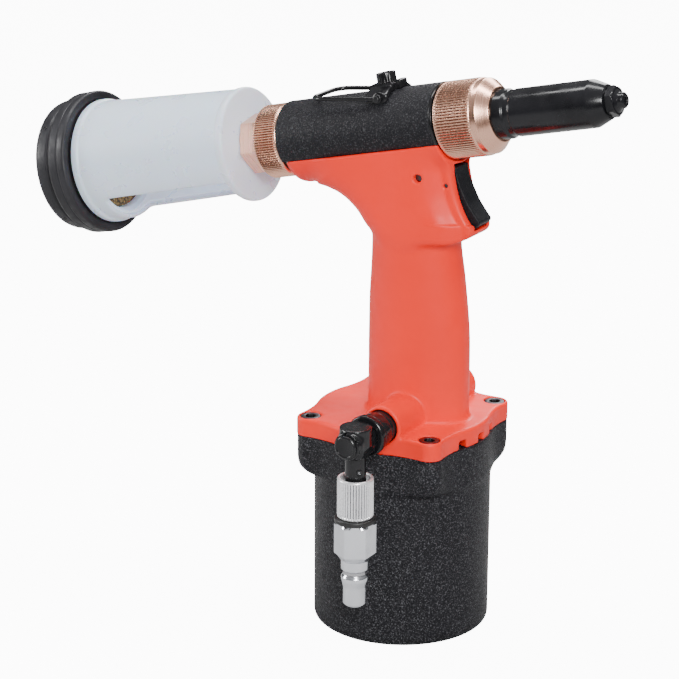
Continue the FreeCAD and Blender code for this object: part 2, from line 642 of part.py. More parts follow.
# ---- hanger ---------------------------------------------------------------------------
def hanger_saddle():
    """Strap over the cover with an ear on each side for the bail."""
    strap = ring(COVER_R + 3.0, COVER_R + 0.02, 12.5, V(-13.0, 0, 0), X)
    strap = strap.common(Part.makeBox(40, 26.0, 30, V(-30, -13.0, 12.0)))
    top = Part.makeBox(12.5, 11.0, 4.0, V(-13.0, -5.5, 18.6))
    ears = Part.makeBox(6.0, 26.0, 7.0, V(BAIL_S - 3.0, -13.0, BAIL_H - 3.6))
    lug = Part.makeBox(3.6, 7.0, 4.6, V(-0.5, -3.5, 18.9))
    body = strap.fuse(top).fuse(ears).fuse(lug)
    body = body.cut(Part.makeCylinder(COVER_R + 0.02, 60, V(-30, 0, 0), X))
    body = body.cut(along_y(0.95 + 0.02, 40, -20, BAIL_S, BAIL_H))
    body = body.cut(Part.makeCylinder(SCREW_R + FIT, 20, V(HANGER_S, 0, 14), Z))
    return on_barrel(body.removeSplitter())


def hanger_bail():
    """U-shaped wire loop lying back over the cover."""
    length = 38.9
    corner = 7.0
    parts = []
    for side in (-1, 1):
        y = side * BAIL_HALF
        parts.append(Part.makeCylinder(2.3, 1.9, V(0, y - 0.95, 0), Y))
        parts.append(Part.makeCylinder(WIRE, length - corner, V(0, y, 0), X * -1))
        bend = Part.makeTorus(corner, WIRE, V(-(length - corner), side * (BAIL_HALF - corner), 0), Z)
        quarter = Part.makeBox(20, 20, 4, V(-(length - corner) - 20, side * (BAIL_HALF - corner)
                                            - (0 if side > 0 else 20), -2))
        parts.append(bend.common(quarter))
    bar = Part.makeCylinder(WIRE, 2 * (BAIL_HALF - corner), V(-length, -(BAIL_HALF - corner), 0), Y)
    bail = parts[0].multiFuse(parts[1:] + [bar]).removeSplitter()
    bail = bail.cut(along_y(0.95 + FIT, 40, -20, 0, 0))
    bail.Placement = FreeCAD.Placement(V(BAIL_S, 0, BAIL_H), FreeCAD.Rotation(Y, BAIL_RISE))
    return on_barrel(bail)


def bail_pins():
    pins = []
    for side in (-1, 1):
        shaft = along_y(0.95, 5.4, side * 11.0, BAIL_S, BAIL_H, side)
        head = along_y(1.7, 0.8, side * 15.75, BAIL_S, BAIL_H, side)
        pins.append(on_barrel(shaft.fuse(head).removeSplitter()))
    return Part.makeCompound(pins)


def hanger_screw():
    """Knurled socket-head screw that holds the strap to the head."""
    head = turned([(22.7, 0), (22.7, 4.9), (27.0, 4.9), (27.5, 4.4), (27.5, 0)], Z)
    shank = Part.makeCylinder(SCREW_R, 7.0, V(0, 0, 15.7))
    screw = head.fuse(shank).cut(hexagon(5.0, 3.2, V(0, 0, 24.4)))
    screw.translate(V(HANGER_S, 0, 0))
    return on_barrel(screw.removeSplitter())


# ---- inlet fittings ----------------------------------------------------------------------
def along_inlet(profile):
    """Turn a profile about the boss axis; distances count from y = 0 towards -Y."""
    solid = turned(profile)
    solid.Placement = FreeCAD.Placement(V(BOSS_X, 0, BOSS_Z), FreeCAD.Rotation(Z, -90))
    return solid


def on_drop(profile):
    """Turn a profile about the vertical line of the hose plug; heights are real."""
    solid = turned(profile, Z)
    solid.translate(V(BOSS_X, DROP_Y, 0))
    return solid


def inlet_nipple():
    """Hollow nipple screwed into the boss; the swivel nut turns on its nose."""
    return along_inlet([(24.0, 3.2), (24.0, PORT_R), (44.0, PORT_R), (44.0, 5.0), (55.0, 5.0),
                        (55.0, 3.2)])


def swivel_nut():
    """Ringed nut that reaches into the boss and turns on the nipple's nose."""
    return along_inlet([(36.0, 7.4), (36.0, 8.35), (44.6, 8.4), (45.2, 7.9), (45.8, 7.9), (46.4, 9.2),
                        (52.2, 9.5), (52.8, 9.1), (53.3, 9.1), (53.9, 10.3), (56.8, 10.3),
                        (57.4, 9.6), (57.4, 7.0), (55.4, 7.0), (55.4, 5.05), (44.4, 5.05),
                        (44.4, 7.4)])


def inlet_elbow():
    """Forged elbow: block with a round top and front, stem below, hollow through both."""
    block = Part.makeBox(14.6, 15.1, 13.2, V(BOSS_X - 7.3, -72.5, 106.4))
    level = [e for e in block.Edges if abs(e.CenterOfMass.y + 64.95) < 0.01]
    block = block.makeFillet(3.0, level)
    arm = along_inlet([(64.0, 0), (64.0, 7.0), (74.4, 6.9), (75.0, 6.3), (75.0, 0)])
    top = on_drop([(112.0, 0), (112.0, 8.0), (121.3, 8.0), (121.8, 7.5), (121.8, 0)])
    stem = on_drop([(93.0, 0), (93.0, 5.2), (107.0, 5.2), (107.0, 0)])
    body = block.fuse([arm, top, stem]).removeSplitter()
    body = body.cut(along_inlet([(55.0, 0), (55.0, 3.4), (66.0, 3.4), (66.0, 0)]))
    body = body.cut(on_drop([(92.0, 0), (92.0, 3.0), (BOSS_Z, 3.0), (BOSS_Z, 0)]))
    body = body.cut(along_inlet([(71.0, 0), (71.0, 5.0), (76.0, 5.0), (76.0, 0)]))
    return body.cut(stem_screw())


def elbow_plug():
    return along_inlet([(71.1, 0), (71.1, 4.95), (75.1, 4.95), (75.1, 5.9), (76.2, 5.9), (76.7, 5.4),
                        (76.7, 0)])


def stem_screw():
    """Grub screw in the side of the stem, which keeps the hose plug on it."""
    screw = along_y(1.3, 1.8, DROP_Y - 5.4, BOSS_X, 99.6)
    screw.rotate(V(BOSS_X, DROP_Y, 0), Z, 51.0)
    return screw


def coupler_sleeve():
    """Knurled sleeve that turns on the elbow's stem."""
    return on_drop([(75.2, 5.25), (75.2, 8.6), (76.0, 9.0), (95.2, 9.0), (95.7, 8.6), (95.7, 5.25)])


def sleeve_ring():
    return on_drop([(72.6, 5.2), (72.6, 10.4), (75.1, 10.4), (75.1, 5.2)])


def air_plug():
    """Hexagon with the standard male plug below it."""
    hexa = hexagon(18.0, 20.0, V(BOSS_X, DROP_Y, 52.5))
    hexa.rotate(V(BOSS_X, DROP_Y, 0), Z, 30.0)
    hexa = hexa.common(on_drop([(52.5, 0), (52.5, 7.0), (56.0, 10.6), (71.0, 10.6), (72.5, 8.8),
                                (72.5, 0)]))
    neck = on_drop([(28.3, 0), (28.3, 4.6), (29.5, 5.85), (38.3, 5.85), (42.0, 6.85), (43.8, 6.85),
                    (45.2, 5.7), (47.0, 5.7), (47.8, 6.95), (52.5, 6.95), (52.5, 0)])
    collar = on_drop([(72.5, 0), (72.5, 5.15), (92.5, 5.15), (92.5, 0)])
    plug = hexa.fuse(neck).fuse(collar).removeSplitter()
    return plug.cut(on_drop([(20.0, 0), (20.0, 3.6), (100.0, 3.6), (100.0, 0)]))


def far_plug():
    """Socket-headed pipe plug in the boss on the far side."""
    plug = along_y(PORT_R, 14.0, BOSS_FAR - 14.4, BOSS_X, BOSS_Z)
    return plug.cut(hexagon(6.0, 6.0, V(BOSS_X, BOSS_FAR - 6.0, BOSS_Z), Y))


PARTS = [
    air_cylinder, base_seal, base_screws, piston_bumper, air_piston, air_piston_seal, ram_rod,
    rod_gland, rod_seal, oil_tube, handle_housing, head_cover, exhaust_silencer, housing_pin,
    main_valve_body, main_valve_spool, main_valve_spring, pilot_valve_body, pilot_valve_stem,
    pilot_valve_spring, trigger, trigger_pin, head_body, pull_piston, pull_piston_seal,
    return_spring, front_gland, front_gland_seal, front_nut, nose_sleeve, nosepiece, jaw_case,
    jaws, jaw_pusher, jaw_spring, mandrel_tube, rear_collar, rear_adapter, collector_bottle,
    shutter_sleeve, collector_cap, exhaust_filter, hanger_saddle, hanger_bail, bail_pins,
    hanger_screw, inlet_nipple, swivel_nut, inlet_elbow, elbow_plug, stem_screw, coupler_sleeve,
    sleeve_ring, air_plug, far_plug,
]


def main():
    os.makedirs("parts", exist_ok=True)
    for make in PARTS:
        shape = make()
        solids = shape.Solids
        if len(solids) == 1:
            shape = solids[0]
        shape.translate(Z * FOOT)
        name = make.__name__
        print(f"{name:20s} solids {len(solids)} valid {shape.isValid()} "
              f"volume {shape.Volume:9.0f} mm3")
        shape.exportStep(f"parts/{name}.step")


main()
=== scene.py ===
"""Looks for the hydro-pneumatic rivet gun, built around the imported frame.

Shapes are worked out in millimetres and written to meshes in metres.  Two frames are
used: ROW, the object's own with heights counted from a datum FOOT above the floor, and
BARREL, whose first axis runs along the tilted barrel towards the nose and whose third
axis points away from the grip.
"""
import json
import math
import bmesh
import bpy
import numpy as np
from mathutils import Matrix, Vector


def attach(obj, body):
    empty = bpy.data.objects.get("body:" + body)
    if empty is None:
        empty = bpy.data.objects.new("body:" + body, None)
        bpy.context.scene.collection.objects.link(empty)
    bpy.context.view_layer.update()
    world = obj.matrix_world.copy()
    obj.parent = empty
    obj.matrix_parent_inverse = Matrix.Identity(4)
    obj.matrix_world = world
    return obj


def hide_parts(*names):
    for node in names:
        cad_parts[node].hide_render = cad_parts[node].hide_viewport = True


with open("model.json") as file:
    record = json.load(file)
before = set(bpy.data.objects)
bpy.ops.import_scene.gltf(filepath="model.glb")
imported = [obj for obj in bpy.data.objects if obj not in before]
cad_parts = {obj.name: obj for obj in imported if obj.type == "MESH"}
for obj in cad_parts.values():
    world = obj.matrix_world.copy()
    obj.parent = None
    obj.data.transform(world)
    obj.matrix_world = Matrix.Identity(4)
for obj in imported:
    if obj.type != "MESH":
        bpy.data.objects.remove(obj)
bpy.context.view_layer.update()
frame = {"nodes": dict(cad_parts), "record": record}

MM = 0.001
FOOT = 3.0      # the tool stands this far below the datum that heights are counted from

# ---- frames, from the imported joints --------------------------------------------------
joints = {joint["name"]: joint for joint in frame["record"]["behaviour"]["joints"]}


def barrel_frame():
    """Matrix from barrel millimetres (s, y, h) to row metres."""
    along = Vector(joints["bottle_turn"]["axis"]).normalized()
    point = Vector(joints["bottle_turn"]["pos_m"])
    origin = point - along * (point.x / along.x)
    up = along.cross(Vector((0, 1, 0)))
    turn = Matrix((along, (0, 1, 0), up)).transposed().to_4x4()
    return Matrix.Translation(origin) @ turn @ Matrix.Scale(MM, 4), along, origin.z / MM - FOOT


BARREL, ALONG, BARREL_Z = barrel_frame()
ROW = Matrix.Translation((0, 0, FOOT * MM)) @ Matrix.Scale(MM, 4)


# turns the first axis, which turned pieces run along, into the third or the second
TO_THIRD = Matrix(((0, 1, 0, 0), (0, 0, 1, 0), (1, 0, 0, 0), (0, 0, 0, 1)))
TO_SECOND = Matrix(((0, 1, 0, 0), (1, 0, 0, 0), (0, 0, 1, 0), (0, 0, 0, 1)))


def upright(x, y):
    """Matrix for turned pieces on a vertical line; distances are heights in mm."""
    foot = Matrix.Translation((x * MM, y * MM, FOOT * MM))
    return foot @ TO_THIRD @ Matrix.Scale(MM, 4)


def sideways(x, z, y=0.0, angle=-90.0):
    """Matrix for turned pieces on a level line that leaves (x, y) at the angle."""
    start = Matrix.Translation((x * MM, y * MM, (z + FOOT) * MM))
    return start @ Matrix.Rotation(math.radians(angle), 4, "Z") @ Matrix.Scale(MM, 4)


# ---- driving sizes, mm ---------------------------------------------------------------
SEAM_Z = 100.0
FLANGE_TOP = 109.6
CYLINDER_R = 45.0
SCREW_XY = 34.2
EAR_R, EAR_JOIN = 6.9, 45.0
BOSS_X, BOSS_Z, BOSS_R = 11.0, 113.8, 10.8
BOSS_NEAR, BOSS_FAR = -41.5, 39.0
DROP_Y = -66.0                      # line of the fittings that hang from the elbow
GRUB_ANGLE, GRUB_Z = -39.0, 99.6
COVER_R, COVER_REAR, COVER_FRONT = 19.2, -65.6, 25.0
SPLIT_H = -8.8                      # joint between the cover and the housing
PIVOT = (28.0, 232.0)               # trigger pin
LOCK = (15.6, 235.3)                # pin that locks the housing to the hydraulic head
PILOT_Z = 222.0
SLOT_HALF = 6.9
HANGER_S = -6.4
BAIL_S, BAIL_H = -5.0, 16.6
BAIL_LENGTH, BAIL_HALF, BAIL_CORNER = 38.9, 14.4, 7.0
BAIL_RISE = 6.4                     # degrees the resting loop stands off the barrel's line
WIRE_R = 1.15


# ---- materials -----------------------------------------------------------------------
class Finish:
    """A Principled material with helpers for procedural detail in object space."""

    def __init__(self, name, color, roughness, metallic=0.0, **sockets):
        self.material = bpy.data.materials.new(name)
        self.material.use_nodes = True
        self.nodes = self.material.node_tree.nodes
        self.links = self.material.node_tree.links
        self.shader = self.nodes["Principled BSDF"]
        self.shader.inputs["Base Color"].default_value = (*color, 1)
        self.shader.inputs["Roughness"].default_value = roughness
        self.shader.inputs["Metallic"].default_value = metallic
        for socket, value in sockets.items():
            self.shader.inputs[socket.replace("_", " ")].default_value = value
        self.height = None
        self.place = self.nodes.new("ShaderNodeTexCoord").outputs["Object"]

    def along_barrel(self):
        """Coordinates whose X runs along the barrel."""
        mapping = self.nodes.new("ShaderNodeMapping")
        mapping.inputs["Rotation"].default_value = (0, math.asin(ALONG.z), 0)
        self.links.new(self.place, mapping.inputs["Vector"])
        return mapping.outputs["Vector"]

    def noise(self, scale, detail=3.0, place=None, stretch=None):
        texture = self.nodes.new("ShaderNodeTexNoise")
        texture.inputs["Scale"].default_value = scale
        texture.inputs["Detail"].default_value = detail
        source = place or self.place
        if stretch:
            mapping = self.nodes.new("ShaderNodeMapping")
            mapping.inputs["Scale"].default_value = stretch
            self.links.new(source, mapping.inputs["Vector"])
            source = mapping.outputs["Vector"]
        self.links.new(source, texture.inputs["Vector"])
        return texture.outputs["Fac"]

    def cells(self, scale):
        texture = self.nodes.new("ShaderNodeTexVoronoi")
        texture.inputs["Scale"].default_value = scale
        self.links.new(self.place, texture.inputs["Vector"])
        return texture.outputs["Distance"]

    def ramp(self, value, stops):
        """Colour ramp through (position, colour) stops."""
        ramp = self.nodes.new("ShaderNodeValToRGB")
        elements = ramp.color_ramp.elements
        while len(elements) < len(stops):
            elements.new(0.5)
        for element, (position, color) in zip(elements, stops):
            element.position = position
            element.color = (*color, 1)
        self.links.new(value, ramp.inputs["Fac"])
        return ramp.outputs["Color"]

    def tint(self, value, low, high, start=0.35, end=0.65):
        """Base colour that wanders between two shades."""
        color = self.ramp(value, [(start, low), (end, high)])
        self.links.new(color, self.shader.inputs["Base Color"])
        return self

    def gloss(self, value, low, high, start=0.35, end=0.65):
        """Roughness that wanders between two values."""
        scale = self.nodes.new("ShaderNodeMapRange")
        scale.inputs["From Min"].default_value = start
        scale.inputs["From Max"].default_value = end
        scale.inputs["To Min"].default_value = low
        scale.inputs["To Max"].default_value = high
        self.links.new(value, scale.inputs["Value"])
        self.links.new(scale.outputs["Result"], self.shader.inputs["Roughness"])
        return self

    def bump(self, value, distance, strength=1.0):
        """Adds relief; several calls pile up."""
        bump = self.nodes.new("ShaderNodeBump")
        bump.inputs["Strength"].default_value = strength
        bump.inputs["Distance"].default_value = distance
        self.links.new(value, bump.inputs["Height"])
        if self.height is not None:
            self.links.new(self.height, bump.inputs["Normal"])
        self.height = bump.outputs["Normal"]
        self.links.new(self.height, self.shader.inputs["Normal"])
        return self


def shades(color, spread):
    """A darker and a lighter shade of a colour."""
    return [tuple(min(1.0, c * k) for c in color) for k in (1 - spread, 1 + spread)]


def moulded_coral():
    color = (0.93, 0.021, 0.007)
    finish = Finish("moulded_coral", color, 0.46, Specular_IOR_Level=0.32)
    finish.tint(finish.noise(22, 4), *shades(color, 0.04))
    finish.gloss(finish.noise(160, 5), 0.38, 0.50)
    return finish.bump(finish.noise(2600, 2), 0.00004, 0.35).material


def wrinkle_black(name, grain, relief, painted_glint):
    """Black paint or moulding with a pebbled grain; light specks on its bumps are painted highlight in
    the base colour, standing in for glints.
    """
    finish = Finish(name, (0.012, 0.012, 0.014), 0.5, Specular_IOR_Level=0.2)
    pebble_relief_and_glint = finish.noise(grain, 2)
    # painted highlight: the grain's high spots are tinted towards the light glint colour
    finish.tint(pebble_relief_and_glint, (0.006, 0.006, 0.008), painted_glint, 0.54, 0.68)
    finish.gloss(finish.noise(grain * 0.6, 3), 0.34, 0.55)
    return finish.bump(pebble_relief_and_glint, relief, 0.9).bump(finish.noise(90, 3), 0.0002, 0.15).material


def anodised(name, color):
    """Turned aluminium, tinted, with fine lathe marks around the barrel."""
    finish = Finish(name, color, 0.3, 1.0)
    marks = finish.noise(2200, 2, finish.along_barrel(), (1, 0.004, 0.004))
    finish.tint(finish.noise(35, 3), *shades(color, 0.06))
    finish.gloss(marks, 0.22, 0.28)
    return finish.bump(marks, 0.00001, 0.07).material


def metal(name, color, low, high, grain, relief=0.00002, metallic=1.0):
    """Bare or plated metal with faint polishing marks and uneven gloss."""
    finish = Finish(name, color, (low + high) / 2, metallic)
    finish.tint(finish.noise(60, 3), *shades(color, 0.05))
    finish.gloss(finish.noise(grain, 4), low, high)
    return finish.bump(finish.noise(grain * 3, 2), relief, 0.3).material


def black_oxide():
    finish = Finish("black_oxide", (0.008, 0.008, 0.010), 0.16, 0.0, Specular_IOR_Level=0.3)
    finish.tint(finish.noise(50, 4), (0.005, 0.005, 0.006), (0.012, 0.012, 0.014))
    finish.gloss(finish.noise(120, 4), 0.12, 0.24)
    return finish.bump(finish.noise(1500, 2, finish.along_barrel(), (1, 0.01, 0.01)),
                       0.00002, 0.25).material


def glossy_black():
    finish = Finish("glossy_black", (0.008, 0.008, 0.009), 0.16, 0.0, Specular_IOR_Level=0.36)
    finish.tint(finish.noise(80, 3), (0.005, 0.005, 0.006), (0.012, 0.012, 0.013))
    finish.gloss(finish.noise(300, 4), 0.12, 0.22)
    return finish.bump(finish.noise(1800, 2), 0.00003, 0.25).material


def moulded_rubber():
    finish = Finish("cap_rubber", (0.014, 0.014, 0.016), 0.48, Specular_IOR_Level=0.35)
    finish.tint(finish.noise(40, 4), (0.010, 0.010, 0.012), (0.020, 0.020, 0.024))
    finish.gloss(finish.noise(220, 5), 0.36, 0.58)
    return finish.bump(finish.noise(1400, 3), 0.00006, 0.4).material


def milky_plastic(name, color, glow):
    # painted light: the emission makes the milky plastic glow a little, standing in for light passing
    # through it
    finish = Finish(name, color, 0.3, 0.0, IOR=1.46, Transmission_Weight=0.25,
                    Subsurface_Weight=0.4, Subsurface_Scale=0.02, Emission_Strength=glow,
                    Emission_Color=(0.86, 0.92, 1.0, 1))
    finish.tint(finish.noise(12, 1), *shades(color, 0.012))
    finish.gloss(finish.noise(90, 3), 0.26, 0.36)
    return finish.bump(finish.noise(25, 1), 0.0002, 0.05).material


def sintered_bronze():
    finish = Finish("sintered_bronze", (0.40, 0.25, 0.08), 0.6, 0.4)
    grains = finish.cells(700)
    finish.tint(grains, (0.52, 0.34, 0.12), (0.10, 0.07, 0.03), 0.1, 0.7)
    return finish.bump(grains, 0.0006, 0.9).material


def seal_rubber():
    finish = Finish("seal_rubber", (0.012, 0.012, 0.012), 0.42)
    finish.tint(finish.noise(120, 3), (0.009, 0.009, 0.009), (0.02, 0.02, 0.02))
    return finish.bump(finish.noise(900, 3), 0.00005, 0.4).material


MATERIALS = {
    "coral": moulded_coral(),
    # the last value of each wrinkle finish is the colour of its painted glints, light specks in the
    # base colour
    "cylinder": wrinkle_black("cylinder_wrinkle", 1450, 0.0008, (0.10, 0.10, 0.11)),
    "cover": wrinkle_black("cover_wrinkle", 1400, 0.0005, (0.045, 0.045, 0.05)),
    "grain": wrinkle_black("trigger_grain", 2600, 0.0002, (0.03, 0.03, 0.034)),
    "copper": anodised("rose_anodised", (0.88, 0.50, 0.36)),
    # painted shade: darker copper for the faces deep in the knurls' grooves
    "copper_groove_shade": anodised("rose_groove_shade", (0.40, 0.19, 0.12)),
    "oxide": black_oxide(),
    "gloss": glossy_black(),
    "rubber": moulded_rubber(),
    # the last value is the painted glow of each milky plastic
    "milky": milky_plastic("milky_plastic", (0.80, 0.85, 0.97), 0.10),
    "shutter": milky_plastic("shutter_plastic", (0.82, 0.86, 0.96), 0.25),
    "bronze": sintered_bronze(),
    "seal": seal_rubber(),
    "chrome": metal("chrome_plate", (0.84, 0.86, 0.90), 0.14, 0.26, 90, 0.00006),
    "bright": metal("bright_aluminium", (0.88, 0.88, 0.90), 0.22, 0.32, 200, 0.00001, 0.6),
    # painted shade: dark grey for the faces deep in the coupler's knurl grooves
    "bright_groove_shade": metal("bright_groove_shade", (0.30, 0.30, 0.32), 0.3, 0.4, 200),
    "zinc": metal("zinc_plate", (0.10, 0.10, 0.105), 0.22, 0.4, 500),
    "steel": metal("ground_steel", (0.52, 0.52, 0.54), 0.22, 0.36, 500),
    "brass": metal("turned_brass", (0.70, 0.50, 0.20), 0.22, 0.34, 500),
    "dark": metal("dark_screw", (0.07, 0.07, 0.075), 0.30, 0.45, 600),
}


# ---- mesh helpers --------------------------------------------------------------------
def make_object(name, vertices, faces, matrix, material, sharp=38.0):
    """Mesh object from millimetre vertices; edges steeper than sharp stay crisp."""
    mesh = bpy.data.meshes.new(name)
    placed = np.asarray(vertices, float) @ np.array(matrix.to_3x3()).T + np.array(matrix.translation)
    mesh.from_pydata(placed.tolist(), [], faces)
    mesh.validate()
    tidy = bmesh.new()
    tidy.from_mesh(mesh)
    bmesh.ops.recalc_face_normals(tidy, faces=tidy.faces)
    tidy.to_mesh(mesh)
    tidy.free()
    mesh.shade_smooth()
    mesh.set_sharp_from_angle(angle=math.radians(sharp))
    mesh.materials.append(MATERIALS[material])
    piece = bpy.data.objects.new(name, mesh)
    bpy.context.scene.collection.objects.link(piece)
    return piece


def soften(profile, size=0.25, steps=2, closed=False):
    """Replaces each corner of a profile by a short curve of about that size."""
    points = [Vector(p) for p in profile]
    count = len(points)
    out = []
    for i, corner in enumerate(points):
        if not closed and i in (0, count - 1):
            out.append(tuple(corner))
            continue
        before, after = points[i - 1] - corner, points[(i + 1) % count] - corner
        if corner.y < 1e-6 or before.length < 1e-6 or after.length < 1e-6:
            out.append(tuple(corner))
            continue
        reach = min(size, before.length * 0.45, after.length * 0.45)
        start, end = corner + before.normalized() * reach, corner + after.normalized() * reach
        for k in range(steps + 1):
            t = k / steps
            out.append(tuple(start.lerp(corner, t).lerp(corner.lerp(end, t), t)))
    return out


def lathe(name, profile, matrix, material, around=96, shape=None, closed=False, sharp=38.0,
          turn=(0.0, 360.0)):
    """Turned piece from (distance, radius) points.  shape(angle, distance, radius) may bend
    the radius, closed joins the profile's ends."""
    full = abs(turn[1] - turn[0] - 360.0) < 1e-6
    columns = around if full else around + 1
    angles = [math.radians(turn[0] + (turn[1] - turn[0]) * i / around) for i in range(columns)]
    vertices, rows = [], []
    for along, radius in profile:
        if radius < 1e-6:
            rows.append([len(vertices)] * columns)
            vertices.append((along, 0, 0))
            continue
        rows.append(list(range(len(vertices), len(vertices) + columns)))
        for angle in angles:
            r = shape(angle, along, radius) if shape else radius
            vertices.append((along, r * math.cos(angle), r * math.sin(angle)))
    faces = []
    pairs = list(zip(range(len(rows)), range(1, len(rows))))
    if closed:
        pairs.append((len(rows) - 1, 0))
    for a, b in pairs:
        for i in range(around):
            j = (i + 1) % columns
            face = [rows[a][i], rows[a][j], rows[b][j], rows[b][i]]
            face = list(dict.fromkeys(face))
            if len(face) > 2:
                faces.append(face)
    if closed and not full:
        faces.append([row[0] for row in rows])
        faces.append([row[-1] for row in reversed(rows)])
    return make_object(name, vertices, faces, matrix, material, sharp)


def paint_groove_shade(piece, matrix, outside, depth, start, end, material):
    """Gives a darker material to the faces that lie deep in a knurl's grooves: painted shade where the
    grooves are in shadow.
    """
    piece.data.materials.append(MATERIALS[material])
    back = matrix.inverted()
    for face in piece.data.polygons:
        along, u, v = back @ face.center
        sunk = (outside - math.hypot(u, v)) / depth
        if start < along < end and 0.6 < sunk < 1.02:
            face.material_index = 1


def hexagonal(flats, start, end, turn=0.0):
    """shape() that trims the radius to a hexagon between two distances."""
    def shape(angle, along, radius):
        if not start <= along <= end:
            return radius
        off = (angle - math.radians(turn) + math.pi / 6) % (math.pi / 3) - math.pi / 6
        return min(radius, flats / 2 / math.cos(off))
    return shape


def socket(limit):
    """shape() that makes the small radii of a profile into a hexagon socket."""
    def shape(angle, along, radius):
        if radius > limit:
            return radius
        off = (angle + math.pi / 6) % (math.pi / 3) - math.pi / 6
        return radius / math.cos(off)
    return shape


def faded_knurl(count, depth, start, end, fade, sharpness=1.4):
    """Straight grooves that run out to points at both ends."""
    def shape(angle, along, radius):
        if not start <= along <= end:
            return radius
        wave = abs((angle * count / (2 * math.pi)) % 1.0 - 0.5) * 2
        level = min(1.0, (along - start) / fade + 0.1, (end - along) / fade + 0.1)
        return radius - depth * level * wave ** sharpness
    return shape


def tube(name, path, radius, material, around=20):
    """Round wire along a path of barrel points."""
    vertices, faces = [], []
    up = Vector((0, 0, 1))
    for i, point in enumerate(path):
        ahead = (path[min(i + 1, len(path) - 1)] - path[max(i - 1, 0)]).normalized()
        side = ahead.cross(up).normalized()
        lift = side.cross(ahead)
        for k in range(around):
            a = 2 * math.pi * k / around
            vertices.append(tuple(point + radius * (side * math.cos(a) + lift * math.sin(a))))
    for i in range(len(path) - 1):
        for k in range(around):
            n = (k + 1) % around
            faces.append([i * around + k, i * around + n, (i + 1) * around + n, (i + 1) * around + k])
    faces.append(list(range(around)))
    faces.append(list(range(len(vertices) - around, len(vertices))))
    return make_object(name, vertices, faces, BARREL, material)


def finish_piece(piece, body, slot, *nodes):
    """Ties a piece to its body and hides the CAD nodes it stands for; slot is not used."""
    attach(piece, body)
    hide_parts(*nodes)


def add_bevel(piece, width):
    bevel = piece.modifiers.new("edges", "BEVEL")
    bevel.width = width * MM
    bevel.segments = 2
    bevel.limit_method = "ANGLE"
    bevel.angle_limit = math.radians(40)
    return piece


# ---- distance fields for the moulded and cast pieces ---------------------------------
def round_min(a, b, size):
    """Union of two fields with a fillet of about that size."""
    mix = np.maximum(size - np.abs(a - b), 0) / size
    return np.minimum(a, b) - mix * mix * size / 4


def round_max(a, b, size):
    """Overlap of two fields with a rounded edge of about that size."""
    return -round_min(-a, -b, size)


def carve(body, hole, edge=0.0):
    """Takes one field out of another, with a rounded rim of about that size."""
    return round_max(body, -hole, edge) if edge else np.maximum(body, -hole)


def slab(value, low, high):
    """Room between two planes."""
    return np.maximum(low - value, value - high)


def rod(u, v, radius=0.0):
    """Round rod along the third direction."""
    return np.sqrt(u * u + v * v) - radius


def outline(u, v, points):
    """Signed distance to a closed polygon in two coordinates."""
    corners = np.array(points, float)
    distance = np.full(np.broadcast(u, v).shape, 1e9)
    inside = np.zeros(distance.shape, bool)
    for (ax, ay), (bx, by) in zip(corners, np.roll(corners, -1, axis=0)):
        ex, ey = bx - ax, by - ay
        t = np.clip(((u - ax) * ex + (v - ay) * ey) / (ex * ex + ey * ey), 0, 1)
        distance = np.minimum(distance, (u - ax - t * ex) ** 2 + (v - ay - t * ey) ** 2)
        if ay != by:
            crosses = ((v > ay) != (v > by)) & (u < ax + (v - ay) * ex / ey)
            inside ^= crosses
    return np.where(inside, -1, 1) * np.sqrt(distance)


def smooth_line(points, steps=6):
    """Points on a smooth curve through the given ones (Catmull-Rom)."""
    p = np.array(points, float)
    p = np.vstack([2 * p[0] - p[1], p, 2 * p[-1] - p[-2]])
    out = []
    for i in range(1, len(p) - 2):
        for t in np.arange(steps) / steps:
            a, b, c, d = p[i - 1:i + 3]
            out.append(tuple(0.5 * (2 * b + (c - a) * t + (2 * a - 5 * b + 4 * c - d) * t * t
                                    + (3 * b - a - 3 * c + d) * t ** 3)))
    return out + [tuple(p[-2])]


def barrel_place(x, z):
    """Barrel coordinates (s, h) of row coordinates."""
    rise = z - BARREL_Z
    return x * ALONG.x + rise * ALONG.z, rise * ALONG.x - x * ALONG.z


def surface_net(field, axes):
    """Vertices and quads over the zero level of a field on a grid, by naive surface nets."""
    counts = [len(axis) for axis in axes]
    value = field(*np.meshgrid(*axes, indexing="ij", sparse=True))
    value = np.broadcast_to(value, counts).astype(np.float32)
    inside = value < 0
    cells = tuple(n - 1 for n in counts)
    total = np.zeros(cells + (3,), np.float32)
    hits = np.zeros(cells, np.float32)

    def at(array, corner):
        return array[tuple(slice(c, c + n) for c, n in zip(corner, cells))]

    for a in [(i, j, k) for i in (0, 1) for j in (0, 1) for k in (0, 1)]:
        for axis in range(3):
            if a[axis]:
                continue
            b = tuple(c + (i == axis) for i, c in enumerate(a))
            cross = at(inside, a) != at(inside, b)
            va, vb = at(value, a), at(value, b)
            t = np.where(cross, va / np.where(cross, va - vb, 1), 0)
            for i in range(3):
                total[..., i] += cross * (a[i] + (t if i == axis else 0))
            hits += cross
    used = hits > 0
    index = np.full(cells, -1)
    index[used] = np.arange(used.sum())
    spot = np.argwhere(used) + total[used] / hits[used][:, None]
    vertices = np.stack([np.interp(spot[:, i], np.arange(counts[i]), axes[i]) for i in range(3)], 1)
    faces = []
    for axis in range(3):
        u, v = (axis + 1) % 3, (axis + 2) % 3
        first = [slice(1, n - 1) for n in counts]
        first[axis] = slice(0, counts[axis] - 1)
        second = list(first)
        second[axis] = slice(1, counts[axis])
        edge_in = inside[tuple(first)]
        cross = edge_in != inside[tuple(second)]
        place = np.argwhere(cross)
        place[:, u] += 1
        place[:, v] += 1
        loop = []
        for du, dv in ((0, 0), (1, 0), (1, 1), (0, 1)):
            cell = place.copy()
            cell[:, u] -= du
            cell[:, v] -= dv
            loop.append(index[tuple(cell.T)])
        quads = np.stack(loop, 1)
        flip = ~edge_in[cross]
        quads[flip] = quads[flip][:, ::-1]
        faces.append(quads)
    return vertices, np.vstack(faces)


